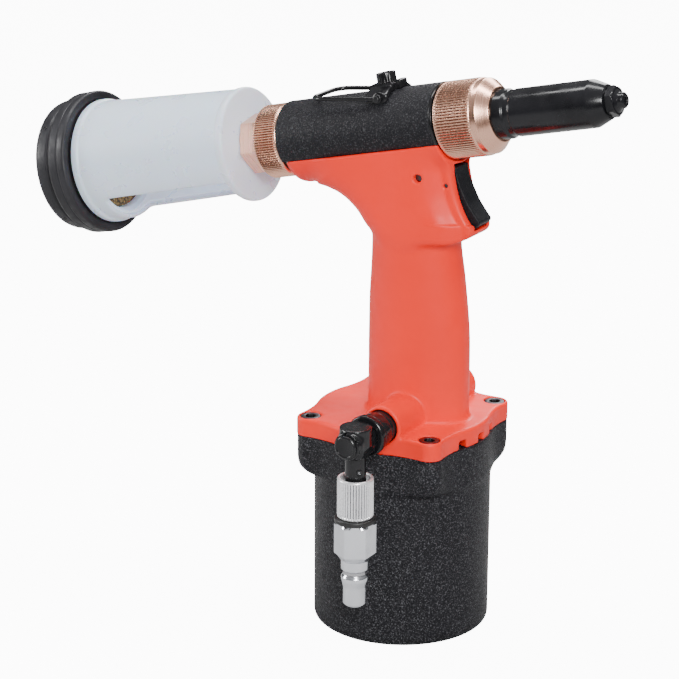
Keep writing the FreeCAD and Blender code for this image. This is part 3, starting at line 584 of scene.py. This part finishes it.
def settle(field, vertices, faces, step, rounds=3):
    """Evens the net out and pulls it onto the field's zero level."""
    edges = np.vstack([faces[:, [i, (i + 1) % 4]] for i in range(4)])
    edges = np.vstack([edges, edges[:, ::-1]])
    valence = np.bincount(edges[:, 0], minlength=len(vertices))[:, None]
    for turn in range(rounds + 1):
        if turn:
            around = np.stack([np.bincount(edges[:, 0], vertices[edges[:, 1], i],
                                           len(vertices)) for i in range(3)], 1)
            vertices = vertices * 0.4 + around / valence * 0.6
        for _ in range(2):
            here = field(*vertices.T)
            slope = np.stack([field(*(vertices + d).T) - here for d in np.eye(3) * 0.02], 1) / 0.02
            size = np.maximum((slope ** 2).sum(1), 0.05)
            move = -(here / size)[:, None] * slope
            length = np.linalg.norm(move, axis=1)[:, None]
            vertices = vertices + move * np.minimum(1, 0.5 * step / np.maximum(length, 1e-9))
    return vertices


def moulded(name, field, axes, material, matrix=ROW):
    """Piece whose surface is where a distance field is zero."""
    vertices, faces = surface_net(field, axes)
    vertices = settle(field, vertices, faces, min(np.diff(axes[0])))
    return make_object(name, vertices, faces.tolist(), matrix, material, sharp=60)


def stations(*marks):
    """Grid stations from (start, step), (start, step), ..., end."""
    out = []
    for (start, step), after in zip(marks, marks[1:]):
        end = after[0] if isinstance(after, tuple) else after
        count = max(1, round((end - start) / step))
        out += [start + (end - start) * i / count for i in range(count)]
    return np.array(out + [marks[-1]])


# ---- handle housing ------------------------------------------------------------------
def screw_places():
    """The four corners of the flange, x and y."""
    return [(i * SCREW_XY, j * SCREW_XY) for i in (-1, 1) for j in (-1, 1)]


def plan_field(x, y):
    """Round plate with four ears, seen from above; hollow curves lead into each ear."""
    plate = rod(x, y, CYLINDER_R)
    u, v = np.maximum(np.abs(x), np.abs(y)), np.minimum(np.abs(x), np.abs(y))
    ear = rod(u - SCREW_XY, v - SCREW_XY, EAR_R)
    # centre of the curve, EAR_JOIN outside both circles
    reach, side, diagonal = CYLINDER_R + EAR_JOIN, EAR_R + EAR_JOIN, SCREW_XY * math.sqrt(2)
    swing = math.acos((reach ** 2 + diagonal ** 2 - side ** 2) / (2 * reach * diagonal))
    cu, cv = reach * math.cos(math.pi / 4 - swing), reach * math.sin(math.pi / 4 - swing)
    web = -rod(u - cu, v - cv, EAR_JOIN)
    # the web only counts between the lines from its centre to the two circles' centres
    to_ear = (SCREW_XY - cu) * (v - cv) - (SCREW_XY - cv) * (u - cu)
    to_plate = cu * (v - cv) - cv * (u - cu)
    return np.where((to_ear > 0) & (to_plate > 0), web, np.minimum(plate, ear))


# height, centre x, half depth, half width
GRIP = np.array(smooth_line([(98, 8.7, 27.2, 19.0), (140, 8.7, 27.2, 19.0),
                             (156, 8.5, 26.9, 18.9), (170, 7.9, 26.1, 18.6),
                             (184, 7.4, 24.8, 18.3), (197, 6.6, 23.5, 18.1),
                             (212, 6.0, 23.0, 18.0), (228, 6.0, 21.0, 17.2),
                             (242, 6.0, 18.0, 15.0), (256, 6.0, 14.0, 11.0)]))
# the head from the side, x and height
HEAD_SIDE = (smooth_line([(-4.0, 197.5), (-11.5, 200.0), (-17.4, 204.6), (-23.6, 212.0),
                          (-32.4, 217.9), (-46.0, 221.8)])
             + [(-46.0, 250.0), (52.0, 250.0), (52.0, 216.0)]
             + smooth_line([(43.6, 210.8), (42.2, 208.6), (38.7, 206.0), (31.0, 203.0),
                            (15.0, 201.4)]) + [(6.0, 198.5)])
# height, and x of the head's front there
HEAD_FRONTS = smooth_line([(190.0, 42.9), (211.0, 42.6), (214.0, 40.3), (219.0, 37.0),
                           (227.2, 33.4), (238.0, 30.8), (252.0, 28.4)])
# distance behind the front, half width there
FLANK = ([(-80.0, 18.4)]
         + smooth_line([(-25.0, 18.4), (-19.0, 17.9), (-14.0, 16.6), (-9.5, 14.2), (-6.6, 12.0),
                        (-4.9, 11.0), (-3.2, 10.9), (-1.6, 10.6), (-0.5, 9.6), (0.0, 8.3)])
         + [(1.2, 4.0), (2.0, 0.0), (6.0, -6.0)])
# the trigger slot from the side, x and height
SLOT = [(62, 242.3), (25.5, 242.3), (22.6, 238.0), (22.6, 229.0), (28.5, 221.5), (29.5, 207.0),
        (35.5, 207.0), (39.9, 208.7), (42.2, 210.7), (62, 216.0)]
EXHAUST = (-19.0, 0.0, 19.0)        # degrees round from +X


def grip_field(x, y, z):
    centre, depth, width = [np.interp(z, GRIP[:, 0], GRIP[:, i]) for i in (1, 2, 3)]
    dx = x - centre
    near = np.sqrt((dx / depth) ** 2 + (y / width) ** 2)
    slope = np.sqrt((dx / depth ** 2) ** 2 + (y / width ** 2) ** 2) + 1e-4     # never quite zero
    return np.maximum(near * (near - 1) / slope, z - 252.0)


def head_field(x, y, z):
    heights, fronts = np.array(HEAD_FRONTS).T
    behind = x - np.interp(z, heights, fronts)
    half = np.interp(behind, *np.array(FLANK).T)
    lean = np.interp(behind, (-18.0, -9.0, -3.0, 0.0), (1.0, 0.9, 0.72, 0.5))
    flank = (np.abs(y) - half) * lean
    edge = np.interp(x, (-34, -10, 12, 40), (18, 17, 5, 2.0))
    return round_max(outline(x, z, HEAD_SIDE), flank, edge)


def housing_field(x, y, z):
    s, h = barrel_place(x, z)
    trough = round_max(rod(y, h + 4.4, 18.0), COVER_REAR - s, 7.0)
    trough = round_max(trough, s - COVER_FRONT, 0.7)
    head = np.maximum(head_field(x, y, z), COVER_REAR - s)
    blend = np.interp(x, (-20.0, -6.0), (0.6, 4.0))
    body = round_min(round_min(grip_field(x, y, z), head, blend), trough, 5.0)
    flange = round_max(plan_field(x, y), z - FLANGE_TOP, 2.0)
    body = round_min(body, flange, 2.4)
    around = rod(x - BOSS_X, z - BOSS_Z)
    near = round_max(around - BOSS_R, slab(y, BOSS_NEAR, 0.0), 2.0)
    far = round_max(around - BOSS_R + 0.6, slab(y, 0.0, BOSS_FAR), 1.2)
    body = round_min(round_min(body, near, 1.8), far, 1.8)
    # the split line, the front nut's room, and the bores of the barrel and the ram
    axis = rod(y, h)
    body = round_max(body, h - SPLIT_H, 0.7)
    body = carve(body, np.maximum(axis - 19.7, COVER_FRONT - s), 0.9)
    body = carve(body, axis - 17.65)
    body = carve(body, np.maximum(rod(x, y, 12.05), z - 240.0))
    # trigger slot, pilot valve bore and cross holes
    body = carve(body, np.maximum(outline(x, z, SLOT), np.abs(y) - SLOT_HALF), 1.3)
    body = carve(body, np.maximum(rod(y, z - PILOT_Z, 4.55), 13.0 - x))
    body = carve(body, rod(x - LOCK[0], z - LOCK[1], 2.0), 0.7)
    body = carve(body, rod(x - PIVOT[0], z - PIVOT[1], 1.15), 0.5)
    # mouth of the inlet boss, the plugged port and the screws
    body = carve(body, round_max(around - 8.7, y + 29.5, 0.8), 0.6)
    body = carve(body, np.maximum(around - 7.0, slab(y, -100.0, -14.5)), 0.3)
    body = carve(body, np.maximum(around - 7.1, 24.0 - y), 0.6)
    for sx, sy in screw_places():
        body = carve(body, np.maximum(rod(x - sx, y - sy, 5.4), 102.8 - z), 0.8)
    # exhaust slots round the seam under the nose side
    for angle in EXHAUST:
        c, t = math.cos(math.radians(angle)), math.sin(math.radians(angle))
        out, across = x * c + y * t, y * c - x * t
        notch = round_max(np.abs(across) - 2.5, z - 104.3, 1.2)
        body = carve(body, np.maximum(notch, 37.0 - out), 0.8)
    return round_max(body, SEAM_Z - z, 0.5)


def build_housing():
    fine = 0.5
    axes = (stations((-76.0, 0.9), (-1.0, fine), (24.0, 0.7), (46.0, 0.9), 57.0),
            stations((-57.0, 0.9), (-42.0, fine), (-36.0, 0.75), (36.0, 0.6), (40.0, 0.9), 57.0),
            stations((99.0, fine), (126.0, 0.85), (200.0, 0.65), (253.0, 1.0), 256.0))
    piece = moulded("housing_shell", housing_field, axes, "coral")
    finish_piece(piece, "housing", "red_housing", "handle_housing")


# ---- air cylinder --------------------------------------------------------------------
def cylinder_field(x, y, z):
    r = rod(x, y)
    wall = round_max(r - CYLINDER_R, -FOOT - z, 3.5)
    corner = rod(np.minimum(z - 89.5, 0), np.maximum(r - 45.6, 0), 10.5)
    ears = round_max(plan_field(x, y), corner, 3.0)
    body = round_min(wall, ears, 3.0)
    body = round_max(body, z - SEAM_Z, 0.5)
    return carve(body, np.maximum(r - 40.0, 6.0 - z))


def build_cylinder():
    axes = (stations((-57.0, 0.95), 57.0), stations((-57.0, 0.95), 57.0),
            stations((-4.0, 0.6), (7.0, 2.0), (76.0, 0.8), 101.0))
    piece = moulded("cylinder_casting", cylinder_field, axes, "cylinder")
    finish_piece(piece, "housing", "black_body", "air_cylinder")


# ---- screws, plugs and pins ----------------------------------------------------------
def socket_screw(name, matrix, top, head_r, height, flats, deep, material, knurl=0):
    """Socket head with its hexagon cut in; distances run out of the head."""
    half = flats / 2
    profile = soften([(top - height, 0.0), (top - height, head_r), (top, head_r),
                      (top, half + 0.35), (top - 0.3, half)], 0.4)
    profile += [(top - deep, half), (top - deep - 0.5, 0.0)]
    grooves = faded_knurl(knurl, 0.35, top - height, top - 0.9, 0.4) if knurl else None
    hollow = socket(half + 0.01)

    def shape(angle, along, radius):
        if radius <= half + 0.01:
            return hollow(angle, along, radius)
        return grooves(angle, along, radius) if grooves and radius > head_r - 0.05 else radius
    return lathe(name, profile, matrix, material, max(96, knurl * 6), shape)


def build_screws():
    for i, (x, y) in enumerate(screw_places()):
        screw = socket_screw(f"flange_screw_{i + 1}", upright(x, y), FLANGE_TOP - 0.35, 5.0, 6.0, 5.0,
                             3.0, "dark", 30)
        finish_piece(screw, "housing", "dark_screw", "base_screws")
    plug = socket_screw("far_port_plug", sideways(BOSS_X, BOSS_Z, angle=90), 38.6, 7.0, 13.0, 6.0, 5.5,
                        "dark")
    finish_piece(plug, "housing", "dark_screw", "far_plug")


# ---- trigger -------------------------------------------------------------------------
# the blade from the side, x and height: its front, then its foot and back
TRIGGER = (smooth_line([(30.9, 240.6), (31.9, 236.2), (33.6, 231.9), (36.0, 227.2), (38.3, 223.0),
                        (41.7, 218.5), (44.5, 215.1)])
           + smooth_line([(44.6, 213.9), (42.1, 211.6), (38.6, 213.6), (34.2, 218.5),
                          (31.3, 222.5), (27.2, 226.3), (24.6, 230.5), (24.8, 237.0),
                          (26.4, 240.6)]))


def trigger_field(x, y, z):
    blade = round_max(outline(x, z, TRIGGER), np.abs(y) - 6.4, 0.8)
    return carve(blade, rod(x - PIVOT[0], z - PIVOT[1], 1.05))


def build_trigger():
    axes = (stations((23.0, 0.45), 46.5), stations((-7.5, 0.45), 7.5), stations((210.0, 0.45), 243.5))
    piece = moulded("trigger_blade", trigger_field, axes, "grain")
    finish_piece(piece, "trigger", "trigger_black", "trigger")


# ---- cover, nut and nose -------------------------------------------------------------
def build_barrel():
    start, end = -27.0, 207.0
    shell = [(COVER_REAR, 17.7), (COVER_REAR, COVER_R), (23.6, COVER_R), (23.6, 17.7)]
    shell = soften(shell, 0.9, 4, True)
    cover = lathe("cover_shell", shell, BARREL, "cover", 150, closed=True, turn=(start, end))
    finish_piece(add_bevel(cover, 0.3), "housing", "black_cover", "head_cover")
    lip = soften([(23.65, 17.7), (23.65, 19.25), (25.1, 19.25), (25.1, 17.7)], 0.35, 3, True)
    finish_piece(lathe("cover_lip", lip, BARREL, "gloss", 150, closed=True, turn=(start, end)),
                 "housing", "black_cover", "head_cover")

    nut = soften([(25.4, 12.3), (25.4, 18.2), (26.3, 19.1), (27.6, 19.1), (29.2, 19.1), (36.0, 19.1),
                  (42.0, 19.1), (44.4, 19.1), (45.6, 19.0)], 0.3)
    nut += soften([(46.0, 18.6), (46.7, 18.55), (48.9, 18.45), (53.4, 13.9), (54.0, 13.4),
                   (54.0, 12.3)], 0.35, 3)
    piece = lathe("front_nut_knurled", nut, BARREL, "copper", 84 * 6,
                  faded_knurl(84, 0.62, 26.2, 45.9, 2.0, 1.8))
    # painted shade: the faces deep in the nut's grooves get the darker copper
    paint_groove_shade(piece, BARREL, 19.1, 0.62, 27.0, 45.2, "copper_groove_shade")
    finish_piece(piece, "housing", "copper_anodised", "front_nut")

    sleeve = soften([(25.5, 12.2), (59.0, 12.2), (60.0, 11.2), (62.6, 11.2), (63.4, 11.6),
                     (104.4, 11.6), (105.6, 11.1), (112.0, 8.3), (112.0, 5.05), (104.0, 5.05)], 0.45, 3)
    finish_piece(lathe("nose_barrel", sleeve, BARREL, "oxide", 128), "housing", "gloss_black_nose",
                 "nose_sleeve")
    tip = soften([(106.0, 5.0), (112.0, 5.0), (112.0, 6.55), (112.7, 7.74), (115.6, 7.74), (116.4, 6.6),
                  (116.4, 5.6), (117.6, 3.95), (119.5, 3.9), (120.3, 3.1), (120.3, 1.9), (119.9, 1.6),
                  (108.0, 1.6)], 0.2, 3)
    finish_piece(lathe("nose_tip", tip, BARREL, "oxide", 120, hexagonal(13.4, 112.2, 116.2)),
                 "housing", "gloss_black_nose", "nosepiece")

    collar = soften([(-80.2, 12.05), (-80.2, 17.7), (-79.3, 18.6), (-78.4, 18.6), (-68.4, 18.6),
                     (-67.2, 18.6), (-66.4, 18.1), (-66.0, 17.6), (-66.0, 12.05)], 0.25)
    piece = lathe("rear_collar_knurled", collar, BARREL, "copper", 88 * 6,
                  faded_knurl(88, 0.7, -79.4, -66.9, 0.8))
    # painted shade: the faces deep in the collar's grooves get the darker copper
    paint_groove_shade(piece, BARREL, 18.6, 0.7, -79.0, -67.3, "copper_groove_shade")
    finish_piece(piece, "housing", "copper_anodised", "rear_collar")
    adapter = soften([(-91.6, 9.6), (-91.6, 12.9), (-90.6, 15.59), (-81.6, 15.59), (-80.6, 12.9),
                      (-80.3, 12.2)], 0.25, 3)
    piece = lathe("rear_adapter_hexagon", adapter, BARREL, "copper", 120,
                  hexagonal(27.0, -91.7, -80.5, -20), sharp=20)
    finish_piece(piece, "housing", "copper_anodised", "rear_adapter")


# ---- stem collector ------------------------------------------------------------------
WINDOW = (math.radians(212.0), math.radians(291.0))     # counted from +Y through +h


def bottle_radius(s):
    """The bottle widens a little towards its cap."""
    return 28.4 + (-s - 93.0) * 0.0335


def window_field(s, y, h, extra, low, high):
    """The window's sector: below zero inside the opening."""
    middle = (WINDOW[0] + WINDOW[1]) / 2
    half = (WINDOW[1] - WINDOW[0]) / 2 + extra / 29.0
    r = rod(y, h)
    off = np.abs(np.angle(np.exp(1j * (np.arctan2(h, y) - middle))))
    return round_max((off - half) * r, slab(s, low, high), 3.0)


def bottle_field(s, y, h):
    r = rod(y, h)
    outer = r - bottle_radius(s)
    outer = round_max(outer, slab(s, -181.2, -92.0), 0.8)
    lip = round_max(r - 29.2, slab(s, -96.1, -91.9), 1.6)
    rim = round_max(r - 32.4, slab(s, -185.4, -181.0), 1.2)
    body = round_min(round_min(outer, lip, 0.5), rim, 0.6)
    inner = np.maximum(r - bottle_radius(s) + 2.0, slab(s, -178.0, -96.5))
    body = carve(body, inner, 0.4)
    body = carve(body, r - 9.7)
    body = carve(body, np.maximum(r - 25.2, s + 177.0))
    return carve(body, window_field(s, y, h, 0.0, -173.0, -97.0), 1.1)


def shutter_field(s, y, h):
    r = rod(y, h)
    outer = np.maximum(r - bottle_radius(s) + 2.35, slab(s, -177.4, -97.0))
    inner = np.maximum(r - bottle_radius(s) + 3.75, s + 98.2)
    body = carve(carve(outer, inner, 0.3), r - 9.7)
    return carve(body, window_field(s, y, h, 1.5, -173.5, -99.2), 0.5)


def build_collector():
    across = stations((-34.0, 0.75), 34.0)
    piece = moulded("bottle_shell", bottle_field,
                    (stations((-187.0, 0.55), (-176.0, 0.8), (-99.0, 0.55), -91.0), across, across),
                    "milky", BARREL)
    finish_piece(piece, "collector", "clear_bottle", "collector_bottle")
    across = stations((-31.0, 0.65), 31.0)
    piece = moulded("bottle_shutter", shutter_field,
                    (stations((-178.5, 0.65), -96.0), across, across), "shutter", BARREL)
    finish_piece(piece, "housing", "clear_bottle", "shutter_sleeve")

    filters = soften([(-200.0, 23.2), (-200.0, 24.4), (-180.6, 24.4), (-180.6, 0.0)], 0.8, 3)
    piece = lathe("filter_disc", filters, BARREL, "bronze", 72)
    finish_piece(piece, "cap", "sintered_bronze", "exhaust_filter")

    cap = soften([(-204.6, 0.0), (-204.6, 27.0), (-206.0, 28.6), (-208.3, 29.4), (-208.3, 31.6),
                  (-207.4, 33.6), (-205.4, 34.3), (-200.6, 34.4), (-199.7, 33.7), (-198.3, 33.7),
                  (-197.2, 36.3), (-195.8, 37.2), (-191.6, 37.2), (-191.1, 36.9), (-190.5, 37.3),
                  (-187.2, 37.4), (-186.2, 36.7), (-186.1, 33.0), (-189.0, 33.0), (-189.0, 26.0)],
                 0.5, 3)
    finish_piece(lathe("cap_shell", cap, BARREL, "rubber", 144), "cap", "cap_black", "collector_cap")
    for i in range(4):
        angle = math.radians(45 + 90 * i)
        normal = BARREL.to_3x3() @ Vector((0, math.cos(angle), math.sin(angle)))
        centre = BARREL @ Vector((-203.0, 34.05 * math.cos(angle), 34.05 * math.sin(angle)))
        vent = soften([(0.0, 0.0), (0.0, 0.75), (0.5, 0.8), (0.5, 1.05), (0.0, 1.25)], 0.08)
        turn = normal.to_track_quat("X", "Z").to_matrix().to_4x4()
        place = Matrix.Translation(centre) @ turn @ Matrix.Scale(MM, 4)
        finish_piece(lathe(f"cap_vent_{i + 1}", vent, place, "gloss", 24), "cap", "cap_black",
                     "collector_cap")


# ---- hanger --------------------------------------------------------------------------
def hanger_field(s, y, h):
    r = rod(y, h)
    strap = np.maximum(r - 22.2, 19.25 - r)
    strap = round_max(strap, slab(s, -13.0, -0.5), 0.8)
    strap = round_max(strap, np.maximum(np.abs(y) - 13.0, 12.0 - h), 0.8)
    top = round_max(np.maximum(np.abs(y) - 5.5, h - 22.6), slab(s, -13.0, -0.5), 0.9)
    top = np.maximum(top, 18.6 - h)
    eye = rod(s - BAIL_S, h - BAIL_H, 3.3)
    ears = round_max(np.maximum(eye, 13.0 - h), slab(np.abs(y), 9.0, 13.2), 0.7)
    lug = round_max(slab(s, -0.5, 3.1), np.maximum(np.abs(y) - 3.5, slab(h, 18.9, 23.4)), 0.9)
    body = round_min(round_min(strap, top, 1.5), round_min(ears, lug, 0.5), 1.2)
    return np.maximum(body, 19.25 - r)


def build_hanger():
    axes = (stations((-14.0, 0.4), 6.6), stations((-14.2, 0.4), 14.2), stations((11.0, 0.4), 24.5))
    piece = moulded("hanger_strap", hanger_field, axes, "gloss", BARREL)
    finish_piece(piece, "housing", "black_hardware", "hanger_saddle")
    place = BARREL @ Matrix.Translation((HANGER_S, 0, 0)) @ TO_THIRD
    screw = socket_screw("hanger_socket_screw", place, 27.5, 4.9, 4.8, 5.0, 3.0, "gloss", 26)
    finish_piece(screw, "housing", "black_hardware", "hanger_screw")

    # wire loop, lying back with a small rise, and an eye at each end
    rise = math.radians(BAIL_RISE)
    straight, level = BAIL_LENGTH - BAIL_CORNER, BAIL_HALF - BAIL_CORNER
    loop = [(0.0, -BAIL_HALF), (-straight, -BAIL_HALF)]
    for side in (-1, 1):
        bend = [(-straight - BAIL_CORNER * math.sin(math.radians(a)),
                 side * (level + BAIL_CORNER * math.cos(math.radians(a)))) for a in range(0, 91, 9)]
        loop += bend[1:] if side < 0 else bend[::-1]
    loop.append((0.0, BAIL_HALF))
    path = [Vector((BAIL_S + s * math.cos(rise), y, BAIL_H - s * math.sin(rise))) for s, y in loop]
    piece = tube("hanger_loop_wire", path, WIRE_R, "gloss")
    finish_piece(piece, "bail", "black_hardware", "hanger_bail")
    for side in (-1, 1):
        place = BARREL @ Matrix.Translation((BAIL_S, side * BAIL_HALF, BAIL_H)) @ TO_SECOND
        eye = soften([(-0.95, 1.0), (-0.95, 2.3), (0.95, 2.3), (0.95, 1.0)], 0.4, 3, True)
        finish_piece(lathe(f"loop_eye_{side + 2}", eye, place, "gloss", 48, closed=True), "bail",
                     "black_hardware", "hanger_bail")
        head = soften([(-3.6, 0.95), (1.3, 0.95), (1.35, 1.7), (1.9, 1.7), (2.1, 1.2), (2.1, 0.0)],
                      0.25, 3)
        head = [(side * d, r) for d, r in head]
        finish_piece(lathe(f"loop_pin_{side + 2}", head, place, "gloss", 40), "housing",
                     "black_hardware", "bail_pins")


# ---- inlet fittings ------------------------------------------------------------------
def elbow_field(x, y, z):
    dx, dy, out = x - BOSS_X, y - DROP_Y, -y
    level, post = rod(dx, z - BOSS_Z), rod(dx, dy)
    block = round_max(np.abs(dx) - 7.3, slab(z, 106.4, 119.6), 5.0)
    block = round_max(block, slab(out, 57.4, 72.5), 1.5)
    arm = round_max(level - 6.95, slab(out, 64.0, 75.0), 0.8)
    top = round_max(post - 8.0, slab(z, 112.0, 121.8), 0.8)
    body = round_min(round_min(block, arm, 1.0), top, 1.0)
    body = round_min(body, np.maximum(post - 5.2, slab(z, 93.0, 108.0)), 0.6)
    body = carve(body, np.maximum(post - 3.0, slab(z, 90.0, BOSS_Z)))
    # two small blind holes in the block's face
    for across, lift in ((-0.6, 6.3), (5.1, 3.6)):
        body = carve(body, np.maximum(rod(dx - across, z - BOSS_Z - lift, 0.6), 72.5 - out))
    # hole of the grub screw in the side of the stem
    c, t = math.cos(math.radians(GRUB_ANGLE)), math.sin(math.radians(GRUB_ANGLE))
    ahead, aside = dx * c + dy * t, dy * c - dx * t
    return carve(body, np.maximum(rod(aside, z - GRUB_Z, 1.35), 3.4 - ahead), 0.25)


def build_inlet():
    level, post = sideways(BOSS_X, BOSS_Z), upright(BOSS_X, DROP_Y)
    nipple = soften([(24.0, 3.2), (24.0, 6.9), (44.0, 6.9), (44.0, 5.0), (55.0, 5.0), (55.0, 3.2)], 0.3)
    finish_piece(lathe("nipple_turned", nipple, level, "brass", 64), "housing", "valve_brass",
                 "inlet_nipple")
    nut = soften([(36.0, 7.4), (36.0, 8.35), (44.6, 8.4), (45.2, 7.9), (45.8, 7.9),
                  (46.4, 9.2), (52.2, 9.5), (52.8, 9.0), (53.3, 9.0), (53.9, 10.3), (56.8, 10.3),
                  (57.4, 9.6), (57.4, 7.0)], 0.3, 3)
    finish_piece(lathe("swivel_nut_ringed", nut, level, "gloss", 120), "inlet_swivel", "black_fitting",
                 "swivel_nut")
    axes = (stations((BOSS_X - 8.9, 0.45), BOSS_X + 8.9), stations((-76.0, 0.45), -56.4),
            stations((92.0, 0.45), 122.8))
    finish_piece(moulded("elbow_casting", elbow_field, axes, "gloss"), "inlet_swivel", "black_fitting",
                 "inlet_elbow")
    plug = soften([(74.0, 4.9), (75.1, 4.95), (75.1, 5.9), (76.2, 5.9), (76.7, 5.3), (76.7, 4.7),
                   (76.5, 4.5), (76.5, 0.0)], 0.25, 3)
    finish_piece(lathe("elbow_end_plug", plug, level, "gloss", 72), "inlet_swivel", "black_fitting",
                 "elbow_plug")
    grub = socket_screw("stem_grub_screw", sideways(BOSS_X, GRUB_Z, DROP_Y, GRUB_ANGLE), 5.1, 1.25, 1.6,
                        1.3, 0.9, "zinc")
    finish_piece(grub, "inlet_swivel", "zinc_steel", "stem_screw")

    sleeve = soften([(75.2, 5.4), (75.2, 8.5), (76.0, 9.0), (76.6, 9.0), (79.0, 9.0), (92.0, 9.0),
                     (94.4, 9.0), (95.1, 9.0), (95.7, 8.5), (95.7, 7.6), (95.3, 7.3), (90.0, 7.3),
                     (90.0, 5.4)], 0.3, 3)
    piece = lathe("coupler_sleeve_knurled", sleeve, post, "bright", 38 * 10,
                  faded_knurl(38, 0.9, 76.2, 94.9, 0.8, 2.0))
    # painted shade: the faces deep in the sleeve's grooves get the dark grey
    paint_groove_shade(piece, post, 9.0, 0.9, 76.6, 94.6, "bright_groove_shade")
    finish_piece(piece, "hose_plug", "bright_aluminium", "coupler_sleeve")
    ring = soften([(72.6, 5.2), (72.6, 10.4), (75.1, 10.4), (75.1, 5.2)], 0.8, 4)
    finish_piece(lathe("sleeve_ring_moulded", ring, post, "seal", 96), "hose_plug", "seal_rubber",
                 "sleeve_ring")
    hexagon = soften([(52.5, 5.0), (52.5, 7.0), (56.0, 10.6), (71.0, 10.6), (72.5, 8.8), (72.5, 5.0)],
                     0.2, 3)
    piece = lathe("plug_hexagon", hexagon, post, "chrome", 120, hexagonal(18.0, 52.4, 72.6), sharp=20)
    finish_piece(piece, "hose_plug", "chrome", "air_plug")
    neck = soften([(29.3, 3.6), (28.3, 3.9), (28.3, 4.7), (29.5, 5.85), (38.3, 5.85), (42.0, 6.85),
                   (43.8, 6.85), (45.2, 5.7), (47.0, 5.7), (47.8, 6.95), (52.6, 6.95)], 0.35, 3)
    piece = lathe("plug_neck", [(60.0, 3.6)] + neck, post, "chrome", 96)
    # painted shade: the faces deep in the neck's groove get darker steel in place of chrome
    paint_groove_shade(piece, post, 6.95, 1.3, 44.0, 48.0, "steel")
    finish_piece(piece, "hose_plug", "chrome", "air_plug")


# ---- inner CAD pieces ----------------------------------------------------------------
SLOT_FINISH = {
    "seal_rubber": "seal", "inner_aluminium": "bright", "inner_steel": "steel", "spring_steel": "steel",
    "valve_brass": "brass", "zinc_steel": "zinc", "filter_felt": "bronze", "dark_screw": "dark",
}


def dress_inner_pieces():
    slots = {part["node"]: part["material_slot"] for part in frame["record"]["subparts"]}
    for node, piece in frame["nodes"].items():
        finish = SLOT_FINISH.get(slots[node])
        if finish:
            piece.data.materials.clear()
            piece.data.materials.append(MATERIALS[finish])


# ---- studio --------------------------------------------------------------------------
def build_studio():
    floor = bmesh.new()
    bmesh.ops.create_grid(floor, x_segments=24, y_segments=24, size=3.0)
    mesh = bpy.data.meshes.new("studio_floor")
    floor.to_mesh(mesh)
    floor.free()
    paper = Finish("studio_paper", (0.42, 0.42, 0.42), 0.9, Emission_Color=(1, 1, 1, 1))
    paper.tint(paper.noise(3, 2), (0.41, 0.41, 0.41), (0.43, 0.43, 0.43))
    # the paper glows white for the camera only, so that it doesn't wash the object out
    glow = paper.nodes.new("ShaderNodeMath")
    glow.operation = "MULTIPLY"
    glow.inputs[1].default_value = 11.0
    paper.links.new(paper.nodes.new("ShaderNodeLightPath").outputs["Is Camera Ray"], glow.inputs[0])
    paper.links.new(glow.outputs["Value"], paper.shader.inputs["Emission Strength"])
    mesh.materials.append(paper.material)
    plane = bpy.data.objects.new("studio_floor", mesh)
    bpy.context.scene.collection.objects.link(plane)

    # sky: dim at the horizon, bright overhead
    world = bpy.data.worlds.new("studio")
    world.use_nodes = True
    nodes, links = world.node_tree.nodes, world.node_tree.links
    split = nodes.new("ShaderNodeSeparateXYZ")
    links.new(nodes.new("ShaderNodeTexCoord").outputs["Generated"], split.inputs["Vector"])
    ramp = nodes.new("ShaderNodeValToRGB")
    ramp.color_ramp.elements[0].color = (0.04, 0.04, 0.04, 1)
    ramp.color_ramp.elements[1].color = (0.50, 0.50, 0.51, 1)
    links.new(split.outputs["Z"], ramp.inputs["Fac"])
    links.new(ramp.outputs["Color"], nodes["Background"].inputs["Color"])
    bpy.context.scene.world = world
    # name, place, width, depth, power; the top one is a long strip
    for name, place, width, depth, power in (("key", (0.85, -1.0, 0.95), 0.6, 0.6, 28.0),
                                             ("top", (-0.1, 0.25, 1.7), 2.2, 0.3, 34.0),
                                             ("fill", (-1.5, -0.7, 0.6), 0.7, 0.7, 17.0),
                                             ("rim", (-0.3, 1.3, 1.0), 0.8, 0.8, 14.0)):
        light = bpy.data.lights.new(name, "AREA")
        light.shape = "ELLIPSE" if width == depth else "RECTANGLE"
        light.size = width
        light.size_y = depth
        light.energy = power
        lamp = bpy.data.objects.new(name, light)
        lamp.location = place
        aim = Vector((-0.03, 0, 0.15)) - Vector(place)
        lamp.rotation_euler = aim.to_track_quat("-Z", "Y").to_euler()
        bpy.context.scene.collection.objects.link(lamp)


def build_camera():
    azimuth, elevation, roll = math.radians(30.86), math.radians(18.22), math.radians(0.30)
    target, distance = Vector((-0.03794, 0, 0.1422)), 1.38012
    back = Vector((math.sin(azimuth) * math.cos(elevation), -math.cos(azimuth) * math.cos(elevation),
                   math.sin(elevation)))
    right = Vector((math.cos(azimuth), math.sin(azimuth), 0))
    up = back.cross(right)
    tilted_right = right * math.cos(roll) + up * math.sin(roll)
    tilted_up = back.cross(tilted_right)
    lens = bpy.data.cameras.new("photo_camera")
    lens.lens = 143.15
    lens.sensor_width = 36.0
    lens.clip_start = 0.05
    camera = bpy.data.objects.new("photo_camera", lens)
    camera.matrix_world = Matrix.Translation(target + back * distance) @ Matrix(
        (tilted_right, tilted_up, back)).transposed().to_4x4()
    bpy.context.scene.collection.objects.link(camera)
    bpy.context.scene.camera = camera


build_housing()
build_cylinder()
build_screws()
build_trigger()
build_barrel()
build_collector()
build_hanger()
build_inlet()
dress_inner_pieces()
build_studio()
build_camera()
